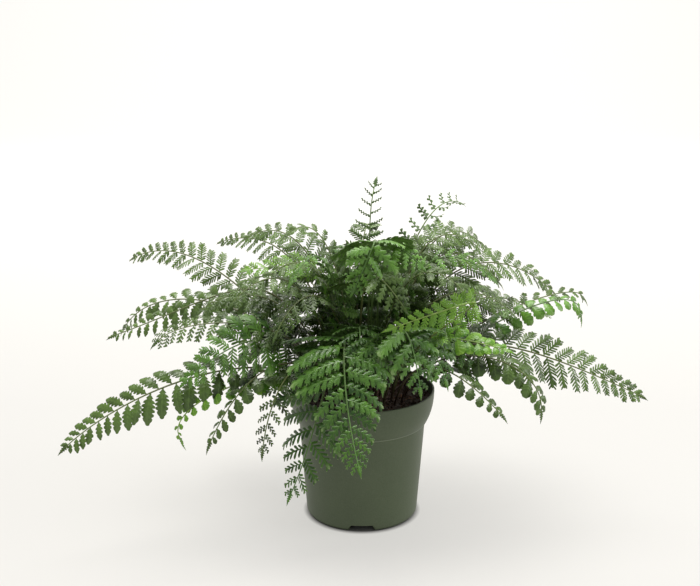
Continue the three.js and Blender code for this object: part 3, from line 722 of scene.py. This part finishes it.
def midrib(leaflets, these, t):
    """Centre and directions at shares t of the midribs of some leaflets, on the curve of their blades.

    The centre arches up as a sine and hangs as t squared, and the direction is the slope of that.
    """
    root, reach, breadth, normal = leaflets.frames(these)
    length = leaflets.length[these][:, None, None]
    sag = leaflets.sag[these][:, None, None]
    t = t[None, :, None]
    centre = root[:, None] + reach[:, None] * t * length
    centre = centre + normal[:, None] * LEAF_ARCH * sag * length * np.sin(np.pi * t)
    centre = centre - np.array([0, 0, 1.0]) * sag * length * t**2
    along = reach[:, None] + normal[:, None] * LEAF_ARCH * sag * np.pi * np.cos(np.pi * t)
    along = unit(along - np.array([0, 0, 2.0]) * sag * t)
    side = squared_to(np.broadcast_to(breadth[:, None], along.shape), along)
    up = squared_to(np.broadcast_to(normal[:, None], along.shape), along)
    return centre, along, side, squared_to(up, side)


def grow_stem(piece, frond):
    """The stalk and midrib of a frond: an oval tube, upright in the soil, that thins towards its tip."""
    share = np.linspace(0, 1, STEM_STATIONS)
    centre, along, side, up = frond.places(share)
    path = np.concatenate([[frond.foot], centre])
    side = np.concatenate([side[:1], side])
    up = np.concatenate([up[:1], up])
    thin = np.concatenate([[1.0], mix(1, STEM_TIP_SHARE * STEM_TIP_FINENESS, share)])[None]
    piece.tubes(
        path[None], side[None], up[None], STEM_WIDTH * STEM_HALF_WIDTH * thin,
        STEM_DEPTH * STEM_HALF_DEPTH * thin, np.array([frond.random.uniform()]), slot=1, ring=STEM_SIDES,
    )


def grow_tip(piece, frond, length, width):
    """The narrow lobed blade that ends a frond, in line with its midrib."""
    centre, along, side, up = frond.places(np.array([FROND_TIP_PLACE]))
    piece.blades(
        FROND_TIP, centre, along, side, up, np.array([length]), np.array([width]), np.array([0.1]), 0.2,
        np.array([0.5]), curl=0.4,
    )


def grow_sheets(piece, frond, style):
    """Leaflets in one sheet with slits between their lobes, more of them on longer leaflets."""
    leaflets = Leaflets(frond, style["many"], crowding=1.45, late=1)
    lobes = np.clip(np.round(leaflets.length / LENGTH_PER_LOBE), LEAST_LOBES, MOST_LOBES).astype(int)
    for count in np.unique(lobes):
        these = lobes == count
        length = leaflets.length[these]
        width = length * style["wide"] * frond.random.uniform(0.86, 1.1, len(length))
        piece.blades(
            lobed_blade(count, style["broadest"], style["blunt"], style["slit"]),
            *leaflets.frames(these), length, width, leaflets.sag[these], SHEET_FOLD,
            leaflets.tone[these], curl=style["curl"],
        )
    grow_tip(piece, frond, *SHEET_TIP_SIZE)


def grow_pinnules(piece, leaflets, these, count, hand, style, random):
    """Pinnules on one side of some pinnae, longest a little before the middle as the power of a sine.

    The pinnules nearest the stem are the broadest.
    """
    length = leaflets.length[these][:, None]
    t = 0.02 + 0.93 * (np.arange(count) + 0.45 + 0.2 * hand) / count
    centre, along, side, up = midrib(leaflets, these, t)
    forward = np.radians(mix(style["back"], style["front"], t))
    forward = (forward + np.radians(random.normal(0, 4, (len(length), count))))[..., None]
    outward = unit(side * hand - up * 0.16)
    reach = along * np.cos(forward) + outward * np.sin(forward)
    breadth = squared_to(along, reach)
    normal = np.cross(breadth, reach) * hand
    normal = normal * np.sign(np.sum(normal * up, axis=-1, keepdims=True))
    grown = style["reach"] * length**0.75 * np.sin(np.pi * (0.2 + 0.68 * t)) ** 0.7
    grown = grown * random.uniform(0.9, 1.1, grown.shape)
    nearest = np.where(np.arange(count) == 0, 1.5, 1.0)
    wide = np.maximum(grown * style["wide"], LEAST_PINNULE_WIDTH) * nearest
    piece.blades(
        BLADES[style["blade"]], centre.reshape(-1, 3), reach.reshape(-1, 3), breadth.reshape(-1, 3),
        normal.reshape(-1, 3), grown.ravel(), wide.ravel(), np.full(grown.size, PINNULE_SAG),
        PINNULE_FOLD, np.repeat(leaflets.tone[these], count), curl=PINNULE_CURL,
    )


def grow_pinnae(piece, frond, style):
    """Pinnae: each a midrib that thins to its tip, a web along it, and pinnules on both its sides."""
    leaflets = Leaflets(frond, style["many"], crowding=1.15, late=3)
    pairs = np.round(style["pairs"] * np.sqrt(leaflets.length))
    pairs = np.clip(pairs, LEAST_PINNULE_PAIRS, MOST_PINNULE_PAIRS).astype(int)
    for count in np.unique(pairs):
        these = pairs == count
        length = leaflets.length[these]
        tone = leaflets.tone[these]
        centre, _, side, up = midrib(leaflets, these, np.linspace(0, 0.9, RIB_STATIONS))
        thin = style["rib"] * np.sqrt(length[:, None] / 30) * np.linspace(1, 0.4, RIB_STATIONS)
        piece.tubes(centre, side, up, thin, thin * 0.8, tone, slot=0)
        piece.blades(
            WEB, *leaflets.frames(these), length, length * style["web"], leaflets.sag[these], WEB_FOLD, tone
        )
        for hand in (1, -1):
            grow_pinnules(piece, leaflets, these, count, hand, style, frond.random)
    grow_tip(piece, frond, *PINNA_TIP_SIZE)


def grow_frond(row, number, finishes):
    """One frond as one piece, which stands for the source's node of the same name."""
    frond = Frond(row, number)
    shape, finish = EXCEPTIONS.get(frond.name, LOOKS[frond.form])
    piece = Piece()
    grow_stem(piece, frond)
    if shape in SHEETS:
        grow_sheets(piece, frond, SHEETS[shape])
    else:
        grow_pinnae(piece, frond, PINNAE[shape])
    made = piece.make(frond.name + "_leafy", finishes[finish])
    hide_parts(frond.name)


def pot_radius(z):
    """Outer radius of the pot at a height: a straight taper, then a band that swells out to the rim."""
    z = np.asarray(z, float)
    up = np.clip((z - BAND_FOOT) / (RIM_TOP - BAND_FOOT), 0, 1)
    swell = (1 - BAND_STRAIGHT_SHARE) * (1 - (1 - up) ** BAND_SWELL_POWER)
    band = mix(BODY_TOP_RADIUS + BAND_STEP, RIM_RADIUS, BAND_STRAIGHT_SHARE * up + swell)
    return np.where(z <= BAND_FOOT, mix(FOOT_RADIUS, BODY_TOP_RADIUS, z / BAND_FOOT), band)


def lathed(piece, radius, height, angles):
    """A closed skin turned about +Z: radius and height of each row, the same or changing round it."""
    radius = np.broadcast_to(radius, (len(radius), len(angles)))
    height = np.broadcast_to(height, radius.shape)
    points = np.stack([radius * np.cos(angles), radius * np.sin(angles), height], axis=-1)
    loops, sides = skin(*radius.shape)
    marks = np.zeros(radius.shape + (4,))
    marks[..., 0] = np.linspace(0, 1, len(radius))[:, None]
    piece.add(points, loops, sides, marks, 0)


def make_pot(material):
    """Turned pot: from the underside's middle over the foot, wall and rim, and down to the floor inside.

    The foot is a quarter of a circle and the lip most of a half, and between them the wall and the band
    follow pot_radius. The rows of the foot ring rise to the notch's height where a drain notch is.
    """
    floor_top = FLOOR_RISE + FLOOR_THICK
    ring = FOOT_RADIUS - FOOT_ROUND - FOOT_RING_WIDTH
    underside_r = [FLOOR_MIDDLE_RADIUS, ring, ring]
    underside_z = [FLOOR_RISE, FLOOR_RISE, 0]
    curl = np.radians(np.linspace(0, 90, 7))
    foot_r = FOOT_RADIUS - FOOT_ROUND * FOOT_ROUND_INSET + FOOT_ROUND * np.sin(curl)
    foot_z = FOOT_ROUND * (1 - np.cos(curl))
    wall_z = np.linspace(WALL_START, BAND_FOOT - 0.9, 10)
    step_r = BODY_TOP_RADIUS + np.array([0, 0.35, BAND_STEP])
    step_z = BAND_FOOT + np.array([-0.25, 0.02, 0.25])
    band_z = BAND_FOOT + (RIM_TOP - RIM_ROUND - BAND_FOOT) * np.linspace(0.03, 1, 22) ** 1.25
    lip = np.radians(np.linspace(20, 160, 7))
    lip_r = RIM_RADIUS - POT_WALL / 2 - 0.1 + (POT_WALL / 2 + 0.1) * np.cos(lip)
    lip_z = RIM_TOP - RIM_ROUND + RIM_ROUND * np.sin(lip)
    inner_z = np.concatenate([band_z[::-1], wall_z[::-1]])
    radius = np.concatenate([
        underside_r, foot_r, pot_radius(wall_z), step_r, pot_radius(band_z), lip_r,
        pot_radius(inner_z) - POT_WALL, [pot_radius(floor_top) - POT_WALL, FLOOR_MIDDLE_RADIUS],
    ])
    height = np.concatenate([
        underside_z, foot_z, wall_z, step_z, band_z, lip_z, inner_z, [floor_top, floor_top]
    ])
    below = np.arange(len(height)) < len(underside_z)
    raised = np.maximum(height, np.where(below, FLOOR_RISE, NOTCH_HEIGHT))
    raised[-2] = NOTCH_HEIGHT + POT_WALL
    edges = np.degrees(np.array([NOTCH_TOP_WIDTH, NOTCH_BOTTOM_WIDTH]) / 2 / FOOT_RADIUS)
    headings = -90 + np.arange(NOTCH_COUNT) * 360 / NOTCH_COUNT
    corners = (headings[:, None] + np.concatenate([edges, -edges])).ravel()
    spread = np.linspace(0, 360, POT_SIDES, endpoint=False)
    angles = np.unique(np.round(np.concatenate([spread, corners % 360]), 3))
    away = np.abs((angles[:, None] - headings + 180) % 360 - 180).min(axis=1)
    cut = np.clip((edges[1] - away) / (edges[1] - edges[0]), 0, 1)
    piece = Piece()
    lathed(piece, radius[:, None], mix(height[:, None], raised[:, None], cut), np.radians(angles))
    pot = piece.make("nursery_pot", [material])
    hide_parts("pot")


def peat_height(x, y):
    """Height of the soil's surface: a crown that falls as the radius squared, and bumps.

    The bumps are a sum of sine waves in random directions, each as high as it is long, made lower.
    """
    random = np.random.default_rng(SOIL_WAVE_SEED)
    lean = random.uniform(0, 2 * np.pi, SOIL_WAVE_COUNT)
    wave = random.uniform(*SOIL_WAVE_LENGTHS, SOIL_WAVE_COUNT)
    phase = random.uniform(0, 2 * np.pi, SOIL_WAVE_COUNT)
    run = (x[..., None] * np.cos(lean) + y[..., None] * np.sin(lean)) * 2 * np.pi / wave + phase
    crown = mix(SOIL_CENTRE, SOIL_EDGE, np.clip(np.hypot(x, y) / SOIL_RADIUS, 0, 1) ** 2)
    return crown + SOIL_ROUGHNESS * np.sum(np.sin(run) * wave, axis=-1) / SOIL_WAVE_SUM


def fill_pot(piece):
    """The peat's body, turned about +Z: from its flat floor up the pot's wall, and in over its top."""
    angles = np.linspace(0, 2 * np.pi, SOIL_SIDES, endpoint=False)
    floor = FLOOR_RISE + FLOOR_THICK + SOIL_GAP
    side_z = np.array([floor + 3, 40.0, 79.0, 84.0, 90.0, 95.0, SOIL_EDGE - 1.5])
    side_r = pot_radius(side_z) - POT_WALL - SOIL_GAP
    top_r = np.linspace(side_r[-1], 0.5, SOIL_RINGS)
    radius = np.concatenate([[4, side_r[0] - 3], side_r, top_r])[:, None] + 0 * angles
    height = np.concatenate([[floor, floor], side_z, 0 * top_r])[:, None] + 0 * angles
    top = radius[-SOIL_RINGS:]
    height[-SOIL_RINGS:] = peat_height(top * np.cos(angles), top * np.sin(angles))
    lathed(piece, radius, height, angles)


def scatter_crumbs(piece, random):
    """Crumbs, spread evenly over the peat: balls of a few rings, each with dents and squashed at random.

    Most are small, because their size goes with the cube of a random number.
    """
    around = random.uniform(0, 2 * np.pi, CRUMB_COUNT)
    out = CRUMB_REACH * np.sqrt(random.uniform(0, 1, CRUMB_COUNT))
    x, y = out * np.cos(around), out * np.sin(around)
    size = random.uniform(0.4, 1.0, CRUMB_COUNT) ** 3 * 1.6 + 0.35
    turn = np.linspace(0, 2 * np.pi, CRUMB_SIDES, endpoint=False)
    rise = np.radians(np.linspace(-72, 72, CRUMB_ROWS))[:, None]
    ball = np.stack(
        [np.cos(rise) * np.cos(turn), np.cos(rise) * np.sin(turn), np.sin(rise) + 0 * turn], axis=-1
    )
    dents = random.uniform(0.65, 1.25, (CRUMB_COUNT, CRUMB_ROWS, CRUMB_SIDES, 1))
    lump = dents * ball * size[:, None, None, None]
    lump = lump * random.uniform(0.6, 1.3, (CRUMB_COUNT, 1, 1, 3))
    points = lump + np.stack([x, y, peat_height(x, y) + size * 0.25], axis=-1)[:, None, None]
    corners = CRUMB_ROWS * CRUMB_SIDES
    loops, sides = skin(CRUMB_ROWS, CRUMB_SIDES)
    marks = np.ones((CRUMB_COUNT, corners, 4)) * random.uniform(0, 1, (CRUMB_COUNT, 1, 1))
    base = (np.arange(CRUMB_COUNT) * corners)[:, None]
    piece.add(points, loops + base, np.tile(sides, CRUMB_COUNT), marks, 0)


def lay_fibres(piece, random):
    """Fibres that lie on the peat: thin tubes along parabolas, which rise and fall a little as a sine."""
    t = np.linspace(-0.5, 0.5, 7)
    heading = random.uniform(0, 2 * np.pi, FIBRE_COUNT)[:, None]
    long = random.uniform(*FIBRE_LENGTHS, FIBRE_COUNT)[:, None]
    bend = random.uniform(-0.5, 0.5, FIBRE_COUNT)[:, None]
    around = random.uniform(0, 2 * np.pi, FIBRE_COUNT)[:, None]
    out = FIBRE_REACH * np.sqrt(random.uniform(0, 1, FIBRE_COUNT))[:, None]
    ahead, aside = t * long, bend * long * t**2 * 2
    x = out * np.cos(around) + ahead * np.cos(heading) - aside * np.sin(heading)
    y = out * np.sin(around) + ahead * np.sin(heading) + aside * np.cos(heading)
    path = np.stack([x, y, peat_height(x, y) + 0.5 + 0.8 * np.sin(7 * t + out)], axis=-1)
    along = unit(np.gradient(path, axis=1))
    side = squared_to(np.broadcast_to([0.0, 0.0, 1.0], along.shape), along)
    half = random.uniform(*FIBRE_HALF_WIDTHS, FIBRE_COUNT)[:, None] + 0 * t
    tone = random.uniform(0.5, 1, FIBRE_COUNT)
    piece.tubes(path, side, np.cross(along, side), half, half, tone, slot=1)


def make_soil(material):
    """Peat: a closed body that fills the pot, with crumbs and fibres lying on its bumpy top."""
    random = np.random.default_rng(CRUMB_SEED)
    piece = Piece()
    fill_pot(piece)
    scatter_crumbs(piece, random)
    lay_fibres(piece, random)
    soil = piece.make("peat", [material, fibre_material()])
    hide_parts("soil")


def linear(colour):
    """An sRGB hex colour as linear red, green, blue and alpha."""
    value = np.array([int(colour[i : i + 2], 16) for i in (1, 3, 5)]) / 255
    value = np.where(value <= 0.04045, value / 12.92, ((value + 0.055) / 1.055) ** 2.4)
    return (*value.tolist(), 1.0)


def new_material(name):
    """A material with an empty node tree."""
    material = bpy.data.materials.new(name)
    material.use_nodes = True
    material.node_tree.nodes.clear()
    return material


def node(material, kind, inputs=None, **settings):
    """Adds a shader node with its settings.

    Each input is a socket or a node that it is linked to, an sRGB hex colour or a constant. A node gives
    the first of its outputs that is in use. A Mix of colours has its share as input 0, and its colours
    as 6 and 7.
    """
    made = material.node_tree.nodes.new("ShaderNode" + kind)
    for name, value in settings.items():
        setattr(made, name, value)
    for name, value in (inputs or {}).items():
        if isinstance(value, bpy.types.Node):
            value = next(output for output in value.outputs if output.enabled)
        if isinstance(value, bpy.types.NodeSocket):
            material.node_tree.links.new(value, made.inputs[name])
        elif isinstance(value, str):
            made.inputs[name].default_value = linear(value)
        else:
            made.inputs[name].default_value = value
    return made


def leaf_material(name, style):
    """Fern leaf: thin leathery tissue under a waxy skin, so light shows through and highlights are soft.

    The upper side goes from dark to light by leaflet and in patches; by leaflet it is partly at random and
    partly painted shade deep in the dome and painted light on its outside. The midrib is paler, a thin rim
    at the tips is paler as a painted highlight, and the lower side is dull. Side veins, about 4 mm apart,
    show as low relief.
    """
    material = new_material(name)
    leaf = node(material, "Attribute", attribute_name="leaf")
    part = node(material, "SeparateColor", {"Color": leaf.outputs["Color"]})
    along, across, tone = part.outputs["Red"], part.outputs["Green"], part.outputs["Blue"]
    place = node(material, "TexCoord").outputs["Object"]
    patch = node(material, "TexNoise", {"Vector": place, "Scale": 1 / (LEAF_PATCH * MM), "Detail": 3.0})
    # tone holds chance and painted shade and light by the leaflet's place in the dome
    shade = node(material, "Math", {0: tone, 1: 0.9, 2: patch}, operation="MULTIPLY_ADD")
    shade = node(material, "MapRange", {"Value": shade, "From Min": 0.48, "From Max": 1.45})
    colour = node(material, "Mix", {0: shade, 6: style["dark"], 7: style["light"]}, data_type="RGBA")
    near_rib = node(
        material, "MapRange",
        {"Value": across, "From Min": 0.03, "From Max": 0.16, "To Min": 0.35, "To Max": 0.0},
    )
    colour = node(material, "Mix", {0: near_rib, 6: colour, 7: style["rib"]}, data_type="RGBA")
    # painted highlight: a thin paler rim at the leaflets' tips
    painted_tip_highlight = node(
        material, "MapRange", {"Value": along, "From Min": 0.84, "From Max": 1.0, "To Max": 0.7}
    )
    colour = node(material, "Mix", {0: painted_tip_highlight, 6: colour, 7: style["tip"]}, data_type="RGBA")
    below = leaf.outputs["Alpha"]
    colour = node(material, "Mix", {0: below, 6: colour, 7: style["under"]}, data_type="RGBA")
    veins = node(material, "Math", {0: across, 1: -0.16, 2: along}, operation="MULTIPLY_ADD")
    veins = node(material, "Math", {0: veins, 1: VEIN_ANGLE}, operation="MULTIPLY")
    veins = node(material, "Math", {0: veins}, operation="SINE")
    cells = node(material, "TexNoise", {"Vector": place, "Scale": 1 / (LEAF_CELL * MM), "Detail": 2.0})
    relief = node(material, "Math", {0: cells, 1: 0.8, 2: veins}, operation="MULTIPLY_ADD")
    bump = node(material, "Bump", {"Height": relief, "Strength": 0.35, "Distance": 0.0003})
    surface = node(
        material, "BsdfPrincipled",
        {
            "Base Color": colour, "Roughness": style["gloss"], "IOR": 1.45, "Normal": bump,
            "Specular IOR Level": 0.26, "Coat Weight": 0.4, "Coat Roughness": 0.14,
        },
    )
    through = node(material, "BsdfTranslucent", {"Color": style["glow"]})
    mixed = node(material, "MixShader", {0: LEAF_CLEARNESS, 1: surface, 2: through})
    node(material, "OutputMaterial", {"Surface": mixed})
    return material


def stem_material(name, foot, middle, tip):
    """Fern stalk: smooth and slightly waxy, brown and scaly at its foot, greener towards the tip."""
    material = new_material(name)
    leaf = node(material, "Attribute", attribute_name="leaf")
    along = node(material, "SeparateColor", {"Color": leaf.outputs["Color"]}).outputs["Red"]
    place = node(material, "TexCoord").outputs["Object"]
    flecks = node(material, "TexNoise", {"Vector": place, "Scale": 1 / (STALK_FLECK * MM), "Detail": 3.0})
    up_stalk = node(material, "Math", {0: flecks, 1: 0.16, 2: along}, operation="MULTIPLY_ADD")
    low = node(material, "MapRange", {"Value": up_stalk, "From Min": 0.12, "From Max": 0.42})
    high = node(material, "MapRange", {"Value": up_stalk, "From Min": 0.42, "From Max": 1.0})
    colour = node(material, "Mix", {0: low, 6: foot, 7: middle}, data_type="RGBA")
    colour = node(material, "Mix", {0: high, 6: colour, 7: tip}, data_type="RGBA")
    bump = node(material, "Bump", {"Height": flecks, "Strength": 0.3, "Distance": 0.0002})
    surface = node(
        material, "BsdfPrincipled", {"Base Color": colour, "Roughness": 0.42, "IOR": 1.45, "Normal": bump}
    )
    node(material, "OutputMaterial", {"Surface": surface})
    return material


def pot_material():
    """Injection-moulded polypropylene: matt grey-green, with a fine moulded grain and faint cloudiness.

    A thin light line along the sharp lower edge of the rim band is a painted highlight, where that edge
    catches the light.
    """
    material = new_material("moulded_polypropylene")
    place = node(material, "TexCoord").outputs["Object"]
    cloud = node(material, "TexNoise", {"Vector": place, "Scale": 1 / (POT_CLOUD * MM), "Detail": 4.0})
    grain = node(material, "TexNoise", {"Vector": place, "Scale": 1 / (POT_GRAIN * MM), "Detail": 3.0})
    colour = node(material, "Mix", {0: cloud, 6: "#3a472c", 7: "#465236"}, data_type="RGBA")
    speck = node(material, "MapRange", {"Value": grain, "From Min": 0.3, "From Max": 0.75, "To Max": 0.16})
    colour = node(material, "Mix", {0: speck, 6: colour, 7: "#6f7862"}, data_type="RGBA")
    height = node(material, "SeparateXYZ", {"Vector": place}).outputs["Z"]
    # painted highlight: a thin pale line painted along the band's lower edge
    edge = (BAND_FOOT + EDGE_HIGHLIGHT_ABOVE_FOOT) * MM
    off_edge = node(material, "Math", {0: height, 1: edge}, operation="SUBTRACT")
    off_edge = node(material, "Math", {0: off_edge}, operation="ABSOLUTE")
    painted_edge_highlight = node(
        material, "MapRange",
        {
            "Value": off_edge, "From Min": EDGE_HIGHLIGHT_FULL * MM, "From Max": EDGE_HIGHLIGHT_GONE * MM,
            "To Min": 0.7, "To Max": 0.0,
        },
    )
    colour = node(material, "Mix", {0: painted_edge_highlight, 6: colour, 7: "#7d866f"}, data_type="RGBA")
    bump = node(material, "Bump", {"Height": grain, "Strength": 0.25, "Distance": 0.0002})
    surface = node(
        material, "BsdfPrincipled", {"Base Color": colour, "Roughness": 0.5, "IOR": 1.49, "Normal": bump}
    )
    node(material, "OutputMaterial", {"Surface": surface})
    return material


def peat_material():
    """Moist peat: nearly black, red-brown where its crumbs dry, with no gloss to speak of."""
    material = new_material("moist_peat")
    place = node(material, "TexCoord").outputs["Object"]
    dry = node(material, "Attribute", attribute_name="leaf").outputs["Fac"]
    patch = node(material, "TexNoise", {"Vector": place, "Scale": 1 / (PEAT_PATCH * MM), "Detail": 5.0})
    grit = node(material, "TexNoise", {"Vector": place, "Scale": 1 / (PEAT_GRIT * MM), "Detail": 4.0})
    colour = node(material, "Mix", {0: patch, 6: "#150d09", 7: "#33200f"}, data_type="RGBA")
    colour = node(material, "Mix", {0: dry, 6: colour, 7: "#3a2314"}, data_type="RGBA")
    bump = node(material, "Bump", {"Height": grit, "Strength": 0.9, "Distance": 0.0006})
    surface = node(material, "BsdfPrincipled", {"Base Color": colour, "Roughness": 0.82, "Normal": bump})
    node(material, "OutputMaterial", {"Surface": surface})
    return material


def fibre_material():
    """Peat fibre: dry matt plant fibre, tan to brown."""
    material = new_material("peat_fibre")
    place = node(material, "TexCoord").outputs["Object"]
    patch = node(material, "TexNoise", {"Vector": place, "Scale": 1 / (FIBRE_PATCH * MM), "Detail": 2.0})
    colour = node(material, "Mix", {0: patch, 6: "#3b2416", 7: "#7a5536"}, data_type="RGBA")
    surface = node(material, "BsdfPrincipled", {"Base Color": colour, "Roughness": 0.8})
    node(material, "OutputMaterial", {"Surface": surface})
    return material


def paper_material():
    """Seamless photographer's paper: matt, off-white, with a glow that is painted light.

    The painted glow fills the shadow by the pot, as it is filled in the photograph. It is nothing where the
    pot stands, so its foot and notches stay dark.
    """
    material = new_material("backdrop_paper")
    place = node(material, "TexCoord").outputs["Object"]
    out = node(material, "VectorMath", {0: place}, operation="LENGTH")
    # painted light: the paper glows to fill the shadow around the pot, and not where the pot stands
    start, full = GLOW_FROM_RADIUS * MM, GLOW_FULL_RADIUS * MM
    glow = node(
        material, "MapRange", {"Value": out, "From Min": start, "From Max": full, "To Max": PAPER_PAINTED_GLOW}
    )
    surface = node(
        material, "BsdfPrincipled",
        {
            "Base Color": "#7e7d7b", "Roughness": 0.9, "Emission Color": "#fffdf8",
            "Emission Strength": glow,
        },
    )
    node(material, "OutputMaterial", {"Surface": surface})
    return material


def leaf_finishes():
    """Leaf and stalk materials of each finish."""
    finishes = {}
    for name, style in FINISHES.items():
        leaf = leaf_material(name + "_fern_leaf", style)
        stalk = stem_material(name + "_fern_stalk", *style["stalk"])
        finishes[name] = [leaf, stalk]
    return finishes


def make_backdrop():
    """A floor that sweeps up behind the plant as a quarter of a circle, as wide as all the views need."""
    t = np.linspace(0, np.pi / 2, 14)
    back = BACKDROP_CURVE_START + BACKDROP_CURVE_RADIUS
    y = BACKDROP_CURVE_START + BACKDROP_CURVE_RADIUS * np.sin(t)
    z = BACKDROP_CURVE_RADIUS - BACKDROP_CURVE_RADIUS * np.cos(t)
    y = np.concatenate([[BACKDROP_FRONT], y, [back]])
    z = np.concatenate([[0.0], z, [BACKDROP_TOP]]) - BACKDROP_BELOW_POT
    x = np.array([-BACKDROP_HALF_WIDTH, BACKDROP_HALF_WIDTH])
    points = np.stack(np.broadcast_arrays(x[None, :], y[:, None], z[:, None]), axis=-1).reshape(-1, 3)
    low = np.arange(len(y) - 1) * 2
    faces = np.stack([low, low + 1, low + 3, low + 2], axis=1)
    mesh = bpy.data.meshes.new("backdrop")
    mesh.from_pydata(points.tolist(), [], faces.tolist())
    mesh.shade_smooth()
    mesh.materials.append(paper_material())
    backdrop = bpy.data.objects.new("backdrop", mesh)
    bpy.context.collection.objects.link(backdrop)


def area_light(name, place, target, width, height, watts, colour):
    """A softbox at a place in metres, tilted and turned to face a target."""
    light = bpy.data.lights.new(name, "AREA")
    light.shape = "RECTANGLE"
    light.size, light.size_y = width, height
    light.energy = watts
    light.color = linear(colour)[:3]
    lamp = bpy.data.objects.new(name, light)
    bpy.context.collection.objects.link(lamp)
    lamp.location = place
    x, y, z = np.array(place) - np.array(target)
    lamp.rotation_euler = (float(np.arctan2(np.hypot(x, y), z)), 0.0, float(np.arctan2(x, -y)))


def set_stage():
    """Pale paper, soft studio light from above and behind to the right, and the photograph's camera."""
    make_backdrop()
    for softbox in SOFTBOXES:
        area_light(*softbox)
    world = bpy.data.worlds.new("studio")
    world.use_nodes = True
    sky = world.node_tree.nodes["Background"]
    sky.inputs["Color"].default_value = (1.0, 1.0, 1.0, 1.0)
    sky.inputs["Strength"].default_value = ROOM_LIGHT
    bpy.context.scene.world = world
    lens = bpy.data.cameras.new("photograph")
    lens.sensor_width = SENSOR_MM
    lens.lens = CAMERA_FOCAL_PIXELS / PHOTO_WIDTH_PIXELS * SENSOR_MM
    lens.clip_start = CAMERA_CLIP_START
    camera = bpy.data.objects.new("photograph", lens)
    camera.location = CAMERA_PLACE
    camera.rotation_euler = (np.radians(90 - CAMERA_DOWN_DEGREES), 0.0, np.radians(CAMERA_LEFT_DEGREES))
    bpy.context.collection.objects.link(camera)
    bpy.context.scene.camera = camera
    bpy.context.scene.view_settings.view_transform = "Standard"


set_stage()
make_pot(pot_material())
make_soil(peat_material())
finishes = leaf_finishes()
for number, row in enumerate(FRONDS):
    grow_frond(row, number, finishes)
